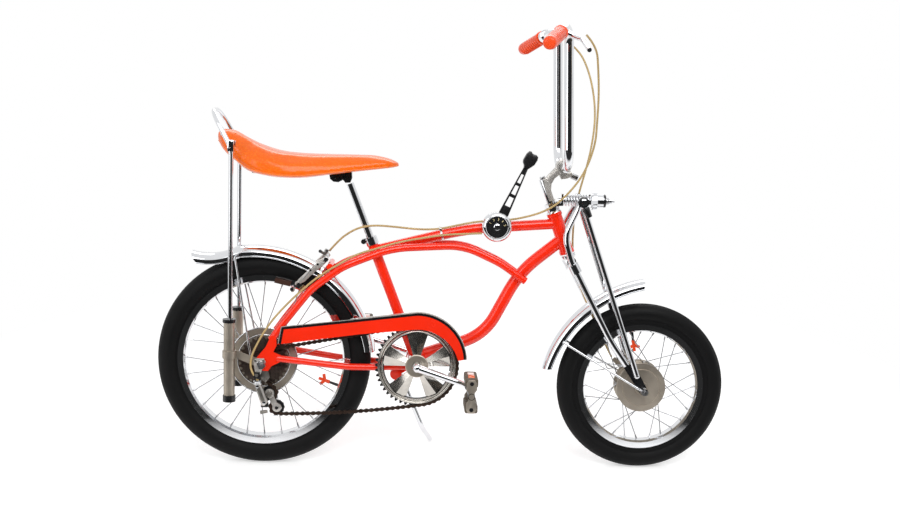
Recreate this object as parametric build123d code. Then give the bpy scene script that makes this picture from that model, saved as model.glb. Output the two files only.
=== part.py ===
"""A chopper bicycle of the late 1960s: slick twenty inch rear wheel, sixteen inch front wheel
with a drum hub, springer fork, high handlebar, long padded seat with a hooped back rest on
shock tubes, stick gear lever and five-speed gear.

It is modelled upright, in millimetres: X forward from the rear axle, Y to the rider's left,
Z up from the ground. At the end it is leaned onto its side stand, which is how it parks,
and moved so that the origin is on the floor, at the middle of its box.
"""

from build123d import *
import math
import os

# Stance and wheels
LEAN = 8.0                      # degrees to the left, onto the side stand
WHEELBASE = 910.5
REAR_R, REAR_SECTION = 255.0, 27.0
FRONT_R, FRONT_SECTION = 202.5, 22.5
RIM_DEPTH, RIM_WALL, RIM_EDGE = 18.0, 3.0, 49.0     # RIM_EDGE: tyre outside to rim lip
REAR_RIM_HALF, FRONT_RIM_HALF = 20.5, 17.5
SPOKES, SPOKE_R = 28, 1.1
REAR_AXLE = (0.0, REAR_R)
FRONT_AXLE = (WHEELBASE, FRONT_R)
AXLE_R = 4.76
RUN_FIT = 0.08                  # radial clearance of a shaft that turns
SEAT_FIT = 0.3                  # clearance of pieces that lie against each other
MOVE_GAP = 5.5                  # clearance of pieces that pass each other

# Steering
HEAD_ANGLE = 69.8               # degrees from the ground
HEAD_TOP = (686.1, 622.0)
HEAD_LEN, HEAD_R = 103.0, 16.5
STEERER_R, QUILL_R = 12.7, 11.0
STEM_RISE = 80.0                # quill above the head tube
CLAMP = (704.5, 732.0)          # middle of the handlebar clamp
BAR_R = 11.1
CROWN_DROP = 17.0               # crown below the head tube
SPRING_Z = 652.0

# Frame
BB = (365.3, 254.0)
BB_R, BB_HALF = 24.0, 34.0
SEAT_TUBE_TOP = (255.0, 536.0)
TOP_TUBE_R, TWIN_R, DOWN_R, STAY_R, SEAT_TUBE_R = 12.7, 9.0, 15.0, 8.0, 12.7
DROP_IN, DROP_T = 60.0, 4.5     # dropout plates, each side of the middle
POST_R, POST_RISE = 9.5, 169.0

# Drive
CHAIN_Y = -50.0
PITCH = 12.7
RING_TEETH = 48
COG_TEETH = (14, 17, 20, 24, 28)
COG_STEP, COG_T = 4.7, 1.8
PLATE_IN, PLATE_T, PLATE_H = 2.0, 1.0, 4.3          # chain plates about the chain's plane
ROLLER_R = 3.9
TOOTH_UP, TOOTH_DOWN = 2.8, 3.6   # teeth above and below the chain's pitch line
GUIDE_PULLEY, TENSION_PULLEY = (17.0, 182.0), (34.5, 148.0)
PULLEY_TEETH = 8
CRANK_LEN, CRANK_DROP = 132.0, 18.5
ARM_Y, ARM_ROOT_R, ARM_TIP_R = 77.0, 9.5, 7.0
SPINDLE_R = 11.0
PEDAL_IN, PEDAL_OUT = 90.0, 182.0
PEDAL_LONG, PEDAL_THICK = 94.0, 31.0
PEDAL_AXLE_R = 4.6
GUARD_IN, GUARD_T = 60.3, 1.6

# Side stand
STAND_TILT = 6.5                # its hinge rises to the left by this much
STAND_PIVOT = (316.0, 46.0, 232.0)
STAND_KNEE = (384.6, 64.7, 69.0)
STAND_FOOT = (406.0, 126.0)
STAND_R, STAND_PIN_R, STAND_HOUSING_R = 6.5, 8.0, 14.0

# Seat, back rest and shock tubes
SHOCK = (-75.0, 80.0)
SHOCK_R, SHOCK_LOW, SHOCK_HIGH = 13.0, 168.0, 365.0
HOOP_R = 5.5

lean = math.radians(LEAN)
head_a = math.radians(HEAD_ANGLE)
STEER_DIR = Vector(-math.cos(head_a), 0, math.sin(head_a))
STAND_AXIS = Vector(0, math.cos(math.radians(STAND_TILT)), math.sin(math.radians(STAND_TILT)))
SEAT_DIR = Vector(SEAT_TUBE_TOP[0] - BB[0], 0, SEAT_TUBE_TOP[1] - BB[1]).normalized()
POST_TOP = (SEAT_TUBE_TOP[0] + SEAT_DIR.X * POST_RISE, SEAT_TUBE_TOP[1] + SEAT_DIR.Z * POST_RISE)
LOW = (Align.CENTER, Align.CENTER, Align.MIN)


def on_head(distance):
    """The point on the steering axis this far above the top of the head tube."""
    return Vector(HEAD_TOP[0], 0, HEAD_TOP[1]) + STEER_DIR * distance


def rod(points, radius, bends=()):
    """A round bar along straight runs and tangent bends."""
    path = FilletPolyline(*points, radius=list(bends)) if bends else Polyline(*points)
    return sweep(Plane(origin=path @ 0, z_dir=path % 0) * Circle(radius), path=path)


def bar(start, end, radius, end_radius=None):
    """A straight round bar, tapered where end_radius is given."""
    start = Vector(*start)
    run = Vector(*end) - start
    where = Plane(origin=start, z_dir=run)
    if end_radius is None:
        return where * Cylinder(radius, run.length, align=LOW)
    return where * Cone(radius, end_radius, run.length, align=LOW)


def across(place, radius, y0, y1):
    """A round bar across the bicycle at (x, z)."""
    return bar((place[0], min(y0, y1), place[1]), (place[0], max(y0, y1), place[1]), radius)


def ring(place, outer, inner, y0, y1):
    """A washer or sleeve across the bicycle at (x, z)."""
    low, high = min(y0, y1), max(y0, y1)
    return across(place, outer, low, high) - across(place, inner, low - 1, high + 1)


def hex_nut(place, radius, y0, y1):
    """A six-sided nut across the bicycle at (x, z)."""
    body = extrude(Plane.XZ * RegularPolygon(radius, 6), abs(y1 - y0))
    return Pos(place[0], max(y0, y1), place[1]) * body


def turned(profile, place):
    """What a closed outline of (radius, y) points sweeps about the cross line at (x, z)."""
    face = make_face(Polyline(*profile, close=True))
    return Pos(place[0], 0, place[1]) * revolve(face, Axis.Y)


def plate(outline, y0, y1):
    """A flat plate, y0 to y1, from (x, z) points or from a closed curve drawn in them."""
    if isinstance(outline, (list, tuple)):
        outline = Polyline(*outline, close=True)
    low, high = min(y0, y1), max(y0, y1)
    return Pos(0, high, 0) * extrude(Plane.XZ * make_face(outline), high - low)


def plate_of(face, y0, y1):
    """A flat plate, y0 to y1, from a face drawn in (x, z)."""
    low, high = min(y0, y1), max(y0, y1)
    return Pos(0, high, 0) * extrude(Plane.XZ * face, high - low)


def mirrored(solid):
    return mirror(solid, about=Plane.XZ)


def joined(pieces):
    pieces = list(pieces)
    return pieces[0].fuse(*pieces[1:]) if len(pieces) > 1 else pieces[0]


def separate(*pieces):
    """Pieces of one node that do not touch each other."""
    return Compound([solid for piece in pieces for solid in piece.solids()])


def pitch_radius(teeth):
    return PITCH / (2 * math.sin(math.pi / teeth))


def polar(place, radius, degrees):
    a = math.radians(degrees)
    return (place[0] + radius * math.cos(a), place[1] + radius * math.sin(a))


# Frame: one welded piece
def twin_tube():
    path = [
        (621, 24, 458), (560, 24, 500), (470, 24, 541), (300, 24, 531), (186, 40, 487),
        (113, 48.5, 434.5), (45, 50.5, 347), (20, 55.5, 311),
    ]
    return rod(path, TWIN_R, [220, 170, 260, 160, 140, 200])


def chain_stay():
    return rod([(346, 25.5, 246), (262, 35, 244.8), (200, 44.5, 247), (34, 60.5, 268.7)], STAY_R, [300, 300])


def dropout():
    shape = [
        (-16, 240), (-20, 262), (-8, 276), (8, 296), (20, 322), (32, 326),
        (34, 300), (26, 284), (44, 276), (42, 260), (22, 250), (14, 238),
    ]
    return plate(shape, DROP_IN, DROP_IN + DROP_T) - across(REAR_AXLE, AXLE_R + 0.2, DROP_IN - 1, DROP_IN + 6)


def stand_housing():
    middle = Vector(*STAND_PIVOT)
    return bar(middle - STAND_AXIS * 66, middle - STAND_AXIS * 5, STAND_HOUSING_R)


def frame():
    head = bar(on_head(-HEAD_LEN), on_head(0), HEAD_R)
    for low, high in ((-HEAD_LEN, -HEAD_LEN + 8), (-8, 0)):
        head += bar(on_head(low), on_head(high), HEAD_R + 1.8)
    shell = across(BB, BB_R, -BB_HALF, BB_HALF)
    top = Vector(SEAT_TUBE_TOP[0], 0, SEAT_TUBE_TOP[1])
    seat_tube = bar(Vector(BB[0], 0, BB[1]) + SEAT_DIR * 12, top, SEAT_TUBE_R)
    top_tube = rod([(694, 0, 595), (478, 0, 578.5), (252, 0, 520)], TOP_TUBE_R, [700])
    down_tube = rod([(706, 0, 556), (608, 0, 476), (528, 0, 322), (372, 0, 268)], DOWN_R, [260, 130])
    bridge = across((156, 486), 8, -44, 44)
    low_bridge = across((296, 246), 6, -32, 32)
    fender_boss = bar((156, 0, 486), (147.7, 0, 474.8), 7)
    weld = plate([(312, 246), (352, 262), (352, 240), (322, 222)], -18, 14)
    half = [twin_tube(), chain_stay(), dropout()]
    body = joined(
        [head, shell, seat_tube, top_tube, down_tube, bridge, low_bridge, fender_boss, weld, stand_housing()]
        + half + [mirrored(piece) for piece in half]
    )
    body -= bar(on_head(-HEAD_LEN - 5), on_head(5), STEERER_R + 1.5)
    body -= bar(top - SEAT_DIR * 90, top + SEAT_DIR * 9, POST_R + 0.1)
    body -= across(BB, BB_R - 3.5, -BB_HALF - 1, BB_HALF + 1)
    pivot = Vector(*STAND_PIVOT)
    return body - bar(pivot - STAND_AXIS * 60, pivot, STAND_PIN_R + RUN_FIT)


def head_cups():
    cups = []
    for near, far in ((SEAT_FIT, 5.0), (-HEAD_LEN - SEAT_FIT, -HEAD_LEN - 5.0)):
        cup = bar(on_head(near), on_head(far), HEAD_R + 1.5, HEAD_R - 0.5)
        cups.append(cup - bar(on_head(min(near, far) - 1), on_head(max(near, far) + 1), STEERER_R + RUN_FIT))
    return separate(*cups)


def bb_cups():
    right = ring(BB, BB_R + 1.5, SPINDLE_R + RUN_FIT, -BB_HALF - SEAT_FIT, -BB_HALF - 3.5)
    right += ring(BB, BB_R - 3.6, SPINDLE_R + RUN_FIT, -BB_HALF + 10, -BB_HALF - 1)
    return separate(right, mirrored(right))


def rear_axle():
    axle = across(REAR_AXLE, AXLE_R, -90, 90)
    nuts = [hex_nut(REAR_AXLE, 9.5, side * 71.4, side * 81.4) for side in (-1, 1)]
    nuts.append(ring(REAR_AXLE, 9.5, AXLE_R - 0.5, -54.4, -DROP_IN + 3.3))
    nuts.append(ring(REAR_AXLE, 9.5, AXLE_R - 0.5, REAR_FLANGES[1] + 7.8, DROP_IN - SEAT_FIT))
    return joined([axle] + nuts)


# Wheels
def band(low, high, half):
    """A flat ring about the Y axis, radius low to high, this wide each side."""
    return turned([(low, -half), (high, -half), (high, half), (low, half)], (0, 0))


def tyre(place, radius, section, rim_half):
    lip = radius - RIM_EDGE
    middle = radius - section
    bead = rim_half - RIM_WALL - SEAT_FIT
    body = revolve(Pos(middle, 0) * Circle(section), Axis.Y) - band(lip - 60, lip + SEAT_FIT, 40)
    foot = band(lip - RIM_DEPTH + RIM_WALL + SEAT_FIT, middle - 4, bead)
    return Pos(place[0], 0, place[1]) * (body + foot)


def rim(place, radius, half):
    lip = radius - RIM_EDGE
    low, wall = lip - RIM_DEPTH, RIM_WALL
    profile = [
        (lip, -half), (lip, wall - half), (low + wall, wall - half), (low + wall, half - wall),
        (lip, half - wall), (lip, half), (low + 4, half), (low, half - 6), (low, 6 - half), (low + 4, -half),
    ]
    return turned(profile, place)


def spokes(place, radius, ends):
    """Crossed wire spokes from the inside of two flanges, given as (radius, y), to the rim."""
    wires = []
    for i in range(SPOKES):
        hub_r, y = ends[i % 2]
        at = 360 * i / SPOKES
        lead = 38 if (i // 2) % 2 else -38
        hole = polar(place, hub_r, at + lead)
        nipple = polar(place, radius - RIM_EDGE - RIM_DEPTH - 0.6, at)
        wires.append(bar((hole[0], y, hole[1]), (nipple[0], y * 0.12, nipple[1]), SPOKE_R))
    return separate(*wires)


REAR_FLANGES, REAR_FLANGE_R = (-19.5, 29.5), 31.0
FRONT_FLANGES, FRONT_DRUM_R = (-23.5, 22.5), 59.5


def rear_hub():
    f0, f1 = REAR_FLANGES
    r = REAR_FLANGE_R + 4
    bore = AXLE_R + RUN_FIT
    return turned([(bore, f0 - 6), (19, f0 - 6), (19, f0 - 1.5), (r, f0 - 1.5), (r, f0 + 1.5), (20, f0 + 5),
                   (16, f0 + 12), (16, f1 - 12), (20, f1 - 5), (r, f1 - 1.5), (r, f1 + 1.5), (17, f1 + 3),
                   (14, f1 + 7), (bore, f1 + 7)], REAR_AXLE)


def front_hub():
    """The drum hub: closed face with a raised disc on the right, brake plate on the left."""
    f0, f1 = FRONT_FLANGES
    r, bore = FRONT_DRUM_R, AXLE_R + RUN_FIT
    return turned([(bore, f0 - 7.5), (14, f0 - 7.5), (16, f0 - 4.5), (r - 15, f0 - 4.5), (r - 13.5, f0 - 2),
                   (r, f0 - 1.5), (r, f0 + 1.5), (r - 7, f0 + 3.5), (r - 7, f1 - 3.5), (r, f1 - 1.5),
                   (r, f1 + 1.5), (r - 13, f1 + 1.5), (r - 13, f1 + 3.5), (bore, f1 + 3.5)], FRONT_AXLE)


def spoke_guard():
    """The slotted disc between the spokes and the largest sprocket."""
    y = REAR_FLANGES[0] - 5
    disc = turned([(19.3, y), (81, y), (81, y + 2.4), (78, y + 1), (19.3, y + 1)], REAR_AXLE)
    for i in range(12):
        a, b = polar((0, 0), 47, 30 * i), polar((0, 0), 72, 30 * i)
        slot = Pos((a[0] + b[0]) / 2, 0, (a[1] + b[1]) / 2 + REAR_R) * Rot(0, -30 * i, 0) * Box(22, 20, 11)
        disc -= slot
    return disc


def valve(place, radius, degrees):
    lip = radius - RIM_EDGE - RIM_DEPTH
    top, low = polar(place, lip - SEAT_FIT, degrees), polar(place, lip - 28, degrees)
    return bar((top[0], 0, top[1]), (low[0], 0, low[1]), 3.6, 2.8)


# Drive
def toothed(teeth, place, bore, y, thickness):
    """A sprocket with one straight-sided tooth for each link of the chain."""
    r = pitch_radius(teeth)
    outline = []
    low, high = r - TOOTH_DOWN, r + TOOTH_UP
    for i in range(teeth):
        for share, radius in ((-0.36, low), (-0.13, high), (0.13, high), (0.36, low)):
            outline.append(polar((0, 0), radius, 360 * (i + share) / teeth))
    disc = plate(outline, y - thickness / 2, y + thickness / 2)
    return Pos(place[0], 0, place[1]) * (disc - across((0, 0), bore, y - thickness, y + thickness))


RING_RIM = 81.0


def chainring():
    """A mag style chainring: five broad ridged spokes between the boss and the toothed rim."""
    gear = toothed(RING_TEETH, BB, RING_RIM, CHAIN_Y, 2.4)
    bead = ring(BB, RING_RIM + 4, RING_RIM - 3, CHAIN_Y - 2.6, CHAIN_Y + 2.6)
    boss = ring(BB, 27, SPINDLE_R + 0.05, CHAIN_Y - 6.5, CHAIN_Y + 7)
    body = gear + bead + boss
    for i in range(5):
        at = 90 + 72 * i
        hub_pts = [polar(BB, 20, at - 22), polar(BB, RING_RIM, at - 18.5), polar(BB, RING_RIM, at + 18.5),
                   polar(BB, 20, at + 22)]
        body += plate(hub_pts, CHAIN_Y - 1.5, CHAIN_Y + 1.5)
        near, far = polar(BB, 18, at), polar(BB, RING_RIM - 1, at)
        body += bar((near[0], CHAIN_Y - 0.5, near[1]), (far[0], CHAIN_Y - 0.5, far[1]), 4.0, 2.6)
    return body - across(BB, SPINDLE_R + 0.05, CHAIN_Y - 20, CHAIN_Y + 20)


def crank():
    """One bent steel bar: two tapered arms and the spindle between them."""
    body = across(BB, SPINDLE_R, -ARM_Y, ARM_Y)
    for side, at in ((-1, -CRANK_DROP), (1, 180 - CRANK_DROP)):
        tip = polar(BB, CRANK_LEN, at)
        y = side * ARM_Y
        body += bar((BB[0], y, BB[1]), (tip[0], y, tip[1]), ARM_ROOT_R, ARM_TIP_R)
        body += Pos(BB[0], y, BB[1]) * Sphere(SPINDLE_R)
        body += across(tip, 11, y - 6.5, y + 6.5)
        body += across(tip, PEDAL_AXLE_R, y, side * (PEDAL_OUT - 4))
    drive_pin = polar(BB, 39, -CRANK_DROP)
    return body + across(drive_pin, 5, CHAIN_Y - 2, -ARM_Y + 3)


def pedal(side):
    """Two rubber treads between end plates, on a sleeve that turns on the pedal pin."""
    tip = polar(BB, CRANK_LEN, -CRANK_DROP if side < 0 else 180 - CRANK_DROP)
    y0, y1 = side * PEDAL_IN, side * PEDAL_OUT
    body = across((0, 0), 8.5, y0, y1)
    half_x, half_z = PEDAL_LONG / 2, PEDAL_THICK / 2
    step = side * 5
    for y in (y0, y1 - step):
        body += plate([(-half_x + 4, -half_z + 3), (half_x - 4, -half_z + 3), (half_x - 4, half_z - 3),
                       (-half_x + 4, half_z - 3)], y, y + step)
    for end in (-1, 1):
        tread = Box(24, abs(y1 - y0) - 9.5, PEDAL_THICK)
        body += Pos(end * (half_x - 12), (y0 + y1) / 2, 0) * fillet(tread.edges().filter_by(Axis.Y), 5)
    body -= across((0, 0), PEDAL_AXLE_R + RUN_FIT, y0 - 5 * side, y1 + 5 * side)
    return Pos(tip[0], 0, tip[1]) * Rot(0, 90, 0) * body


def tangent(c0, r0, s0, c1, r1, s1):
    """Where a belt leaves circle 0 and meets circle 1; s is +1 for a circle it turns round
    anticlockwise in the (x, z) view and -1 for a clockwise one."""
    dx, dz = c1[0] - c0[0], c1[1] - c0[1]
    gap = math.hypot(dx, dz)
    base = math.atan2(dz, dx)
    off = math.asin((s1 * r1 - s0 * r0) / gap) * -1
    a = base + off
    nx, nz = math.sin(a), -math.cos(a)
    return (c0[0] + s0 * r0 * nx, c0[1] + s0 * r0 * nz), (c1[0] + s1 * r1 * nx, c1[1] + s1 * r1 * nz)


def chain_stations():
    """The circles that the chain passes, in order: centre, pitch radius and turning sense."""
    pulley = pitch_radius(PULLEY_TEETH)
    return [(BB, pitch_radius(RING_TEETH), 1), (REAR_AXLE, pitch_radius(COG_TEETH[0]), 1),
            (GUIDE_PULLEY, pulley, -1), (TENSION_PULLEY, pulley, 1)]


def chain_loop(offset):
    """The closed line that runs this far outside the chain's pitch line."""
    stations = [(c, r + s * offset, s) for c, r, s in chain_stations()]
    count = len(stations)
    runs = []
    for i in range(count):
        runs.append(tangent(*stations[i], *stations[(i + 1) % count]))
    edges = []
    for i, (centre, radius, sense) in enumerate(stations):
        arrive, leave = runs[i - 1][1], runs[i][0]
        a0 = math.atan2(arrive[1] - centre[1], arrive[0] - centre[0])
        a1 = math.atan2(leave[1] - centre[1], leave[0] - centre[0])
        turn = (a1 - a0) * sense % (2 * math.pi)
        mid = a0 + sense * turn / 2
        middle = (centre[0] + radius * math.cos(mid), centre[1] + radius * math.sin(mid))
        edges.append(ThreePointArc(arrive, middle, leave))
        edges.append(Line(*runs[i]))
    return Wire(edges), runs


def chain():
    outer, _ = chain_loop(PLATE_H)
    inner, _ = chain_loop(-PLATE_H)
    _, runs = chain_loop(0)
    profile = make_face(outer) - make_face(inner)
    bands = []
    for side in (-1, 1):
        near = CHAIN_Y + side * PLATE_IN
        bands.append(plate_of(profile, near, near + side * PLATE_T))
    rollers = []
    for start, end in runs:
        length = math.dist(start, end)
        for i in range(1, int(length / PITCH)):
            t = i * PITCH / length
            at = (start[0] + (end[0] - start[0]) * t, start[1] + (end[1] - start[1]) * t)
            if any(math.dist(at, c) < r + TOOTH_UP + ROLLER_R + SEAT_FIT for c, r, s in chain_stations()):
                continue
            rollers.append(across(at, ROLLER_R, CHAIN_Y - PLATE_IN - 0.1, CHAIN_Y + PLATE_IN + 0.1))
    return joined(bands + rollers)


def rear_sprockets():
    cogs = []
    for i, teeth in enumerate(COG_TEETH):
        cogs.append(toothed(teeth, REAR_AXLE, 16, CHAIN_Y + i * COG_STEP, COG_T))
    inner = CHAIN_Y + (len(COG_TEETH) - 1) * COG_STEP + COG_T / 2 + 0.3
    core = ring(REAR_AXLE, 17, AXLE_R + RUN_FIT, CHAIN_Y - 4, inner)
    return joined([core] + cogs)


def pulleys():
    wheels = []
    for centre in (GUIDE_PULLEY, TENSION_PULLEY):
        wheel = toothed(PULLEY_TEETH, centre, 3, CHAIN_Y, 2.2) + ring(centre, 9, 3, CHAIN_Y - 4, CHAIN_Y + 4)
        wheels.append(wheel)
    return separate(*wheels)


CAGE_IN, CAGE_T = 5.0, 1.8


def derailleur():
    """Cage plates about the pulleys, knuckles and parallel links up to the hanger."""
    outline = make_hull([*Edge.make_circle(13).moved(Pos(*GUIDE_PULLEY)).edges(),
                         *Edge.make_circle(10).moved(Pos(*TENSION_PULLEY)).edges()])
    outer = plate_of(outline, CHAIN_Y - CAGE_IN, CHAIN_Y - CAGE_IN - CAGE_T)
    inner = plate_of(outline, CHAIN_Y + CAGE_IN, CHAIN_Y + CAGE_IN + CAGE_T)
    pin_end = CAGE_IN + 2.5
    pins = [across(c, 2.9, CHAIN_Y - pin_end, CHAIN_Y + pin_end) for c in (GUIDE_PULLEY, TENSION_PULLEY)]
    upper, lower = (8, 219), GUIDE_PULLEY
    knuckles = [across(upper, 9, -DROP_IN - SEAT_FIT, -76), across(lower, 9.5, CHAIN_Y - CAGE_IN - 1, -74)]
    links = []
    for y in (-64, -72):
        links.append(plate([(0, 222), (16, 222), (26, 184), (8, 180)], y - 2, y))
    hanger = plate([(-10, 252), (10, 252), (18, 222), (8, 209), (-3, 218)], -DROP_IN + SEAT_FIT, -DROP_IN + 3)
    hanger -= across(REAR_AXLE, AXLE_R + 0.2, -70, -50)
    bolt = across(upper, 4, -DROP_IN + 1, -DROP_IN - 3)
    return joined([outer, inner, hanger, bolt] + pins + knuckles + links)


def chain_guard():
    """A pressed guard over the upper run and the front of the chainring, with its edge turned in."""
    tip_out, tip_in = polar(BB, 120, 9), polar(BB, 99, 9)
    edges = [
        Line((36, 302), (44, 345)),
        Line((44, 345), (206, 364.5)),
        Line((206, 364.5), (363, 384)),
        ThreePointArc((363, 384), polar(BB, 127, 50), tip_out),
        Line(tip_out, tip_in),
        ThreePointArc(tip_in, polar(BB, 92, 50), (350, 342)),
        Line((350, 342), (230, 330)),
        Line((230, 330), (36, 302)),
    ]
    sheet = plate_of(make_face(Wire(edges)), -GUARD_IN, -GUARD_IN - GUARD_T)
    lip_top = [(206, 363), (206, 364.5), (363, 384), (363, 382.4)]
    lip = plate(lip_top, -GUARD_IN - GUARD_T, -GUARD_IN + 10)
    return sheet + lip


# Fenders
def fender(centre, radius, start, sweep_deg, half, depth, tails=()):
    """A rolled fender: a crowned sheet swept along an arc, then along its tail's curves."""
    a = math.radians(start)
    begin = (centre[0] + radius * math.cos(a), centre[1] + radius * math.sin(a))
    curves = [JernArc(begin, (-math.sin(a), math.cos(a)), radius, sweep_deg)]
    for bend, turn in tails:
        curves.append(JernArc(curves[-1] @ 1, curves[-1] % 1, bend, turn))
    path = Plane.XZ * Wire(curves)
    wall, skirt = 1.6, 7.0
    rise = depth - skirt
    inside, under = half - wall, rise + wall * 0.4
    outer = [
        Line((-half, depth), (-half, rise)),
        ThreePointArc((-half, rise), (0, 0), (half, rise)),
        Line((half, rise), (half, depth)),
        Line((half, depth), (inside, depth)),
        Line((inside, depth), (inside, under)),
        ThreePointArc((inside, under), (0, wall), (-inside, under)),
        Line((-inside, under), (-inside, depth)),
        Line((-inside, depth), (-half, depth)),
    ]
    where = Plane(origin=path @ 0, x_dir=(0, 1, 0), z_dir=path % 0)
    return sweep(where * make_face(Wire(outer)), path=path)


REAR_FENDER = ((REAR_AXLE[0] - 24.5, REAR_AXLE[1] - 18.3), REAR_R + 38.5, 8.3, 87.7, 33.0, 24.0)
FRONT_FENDER = ((FRONT_AXLE[0] + 55.5, FRONT_AXLE[1] - 41.5), FRONT_R + 107.0, 100.5, 64.0, 28.0, 22.0)


def rear_fender():
    """Its tail dips behind the wheel and ends in an upturned lip."""
    return fender(*REAR_FENDER, tails=((50, 20), (140, -42)))


def front_fender():
    return fender(*FRONT_FENDER)


def rear_fender_stays():
    """A wire stay each side, from the axle up to the edge of the fender."""
    y = DROP_IN + DROP_T + SEAT_FIT
    wire = rod([(-25, y + 0.8, 268), (-31, y + 0.2, 300), (-68, 36.2, 506)], 2.6, [90])
    eye = ring(REAR_AXLE, 9, AXLE_R + 0.2, y, y + 3)
    eye += plate([(-4, 248), (-2, 262), (-24, 276), (-29, 268)], y, y + 3)
    eye -= across(REAR_AXLE, AXLE_R + 0.2, y - 1, y + 5)
    side = wire + eye
    return separate(side, mirrored(side))


def front_fender_stays():
    x, z = FRONT_AXLE
    path = [(x - 6.5, 64.5, z + 2.3), (x - 14.5, 64.5, z + 6.5), (x - 110.5, 46, z + 61.5), (x - 194.5, 31.1, z + 110.1)]
    wire = rod(path, 2.8, [6, 600])
    wire += ring(FRONT_AXLE, 9, AXLE_R + 0.2, 62, 67)
    wire -= across(FRONT_AXLE, AXLE_R + 0.2, 50, 80)
    return separate(wire, mirrored(wire))


# Springer fork and handlebar
LEG_PATH = [(746, 25, 648), (708, 47, 572), (727, 52, 507), (826, 59, 322), (866, 60, 265)]
LEG_BENDS = [75, 170, 400]
LEG_R, PIN_R = 8.0, 5.0
STRUT_TOP, STRUT_LOW = (750.0, 41.5, 646.0), (893.0, 58.9, 238.0)
LINK_IN, LINK_OUT = 46.0, 51.7


def fork_crown():
    """The steerer tube with the crown that clamps both fork legs."""
    low, high = on_head(-HEAD_LEN - CROWN_DROP), on_head(22)
    steerer = bar(low, high, STEERER_R)
    race = bar(on_head(-HEAD_LEN - 10.5), on_head(-HEAD_LEN - 5.3), HEAD_R + 1)
    beam = bar((low.X, -44, low.Z), (low.X, 44, low.Z), 11)
    body = steerer + race + beam
    along = (Vector(*LEG_PATH[3]) - Vector(*LEG_PATH[2])).normalized()
    for side in (1, -1):
        axis = Vector(along.X, along.Y * side, along.Z)
        middle = Vector(LEG_PATH[2][0], LEG_PATH[2][1] * side, LEG_PATH[2][2])
        body += bar(middle + axis * 4, middle + axis * 26, 13.5)
        body += bar((low.X, 30 * side, low.Z), middle + axis * 12, 10)
    body -= bar(on_head(-HEAD_LEN - 3), on_head(30), QUILL_R + 0.1)
    hole = rod(LEG_PATH, LEG_R + 0.05, LEG_BENDS)
    return body - hole - mirrored(hole)


def fork_legs():
    """One blade: from the pivot eye, back past the head tube, through the crown, to the link."""
    leg = rod(LEG_PATH, LEG_R, LEG_BENDS)
    leg += across((STRUT_TOP[0], SPRING_Z), 9, 21, 33)
    return leg - across((STRUT_TOP[0], SPRING_Z), PIN_R + 0.05, 10, 60)


def fork_struts():
    """The sprung pair in front, joined at the top by a yoke round the spring's cup."""
    pivot = (STRUT_TOP[0], SPRING_Z)
    side = bar(STRUT_TOP, STRUT_LOW, 6.5) + Pos(*STRUT_LOW) * Sphere(7.0)
    side += across(pivot, 13, 37, 48)
    arm = Polyline((744, 38), (762, 38), (777, 19), (787, 19), (787, 26), (768, 47), (744, 47), close=True)
    side += Pos(0, 0, SPRING_Z - 5) * extrude(make_face(arm), 10)
    side -= across(pivot, PIN_R + 0.05, 30, 60)
    yoke = along_spring(777, 787, 22.5) - along_spring(770, 790, 17.3)
    return joined([yoke, side, mirrored(side)])


def fork_links():
    """The dark plate that joins leg, strut and front axle."""
    shape = make_hull([*Edge.make_circle(8).moved(Pos(LEG_PATH[-1][0] + 2, LEG_PATH[-1][2] - 3)).edges(),
                       *Edge.make_circle(8).moved(Pos(STRUT_LOW[0], STRUT_LOW[2])).edges(),
                       *Edge.make_circle(10).moved(Pos(*FRONT_AXLE)).edges()])
    return plate_of(shape, LINK_IN, LINK_OUT) - across(FRONT_AXLE, AXLE_R + 0.2, 40, 80)


def headset():
    """Threaded race, spring bracket and lock nut, stacked on the steerer."""
    stack = bar(on_head(5.3), on_head(11), HEAD_R)
    stack += Plane(origin=on_head(16.5), z_dir=STEER_DIR) * extrude(RegularPolygon(16.4, 6), 7)
    bracket = plate([(676, 638), (706, 640), (706, 668), (701.5, 668), (701.5, 646), (672, 643.5)], -16, 16)
    bracket -= along_spring(690, 720, 4.05)
    neck = bar(on_head(11), on_head(16.5), HEAD_R + 1)
    body = stack + bracket + neck
    return body - bar(on_head(0), on_head(40), STEERER_R + 0.05)


def stem():
    top = on_head(STEM_RISE)
    body = bar(on_head(-45), top, QUILL_R)
    body += bar(top, top + STEER_DIR * 9, 7)
    arm_start = on_head(STEM_RISE - 12)
    body += rod([arm_start, (arm_start.X + 26, 0, arm_start.Z + 17), (CLAMP[0], 0, CLAMP[1])], 10, [22])
    body += across(CLAMP, BAR_R + 5, -20, 20)
    body += bar((CLAMP[0] + 9, 0, CLAMP[1] - 12), (CLAMP[0] + 27, 0, CLAMP[1] - 22), 8)
    return body - across(CLAMP, BAR_R + 0.05, -25, 25)


BAR_SIDE = [(628, 292, 1013), (693, 104, 1061), (CLAMP[0], 102, CLAMP[1])]
BAR_BENDS = [36, 46]
GRIP_LEN, GRIP_R = 116.0, 15.5


def handlebar():
    path = BAR_SIDE + [(x, -y, z) for x, y, z in reversed(BAR_SIDE)]
    return rod(path, BAR_R, BAR_BENDS + BAR_BENDS[::-1])


def along_grip(distance, side):
    """A point this far in from the end of the handlebar."""
    end, corner = Vector(*BAR_SIDE[0]), Vector(*BAR_SIDE[1])
    at = end + (corner - end).normalized() * distance
    return Vector(at.X, at.Y * side, at.Z)


def grip(side):
    outer, inner = along_grip(-4, side), along_grip(GRIP_LEN, side)
    body = bar(outer, inner, GRIP_R)
    body += bar(along_grip(GRIP_LEN - 5, side), inner, GRIP_R + 3)
    return body - bar(along_grip(0, side), along_grip(GRIP_LEN + 2, side), BAR_R + 0.1)


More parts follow.
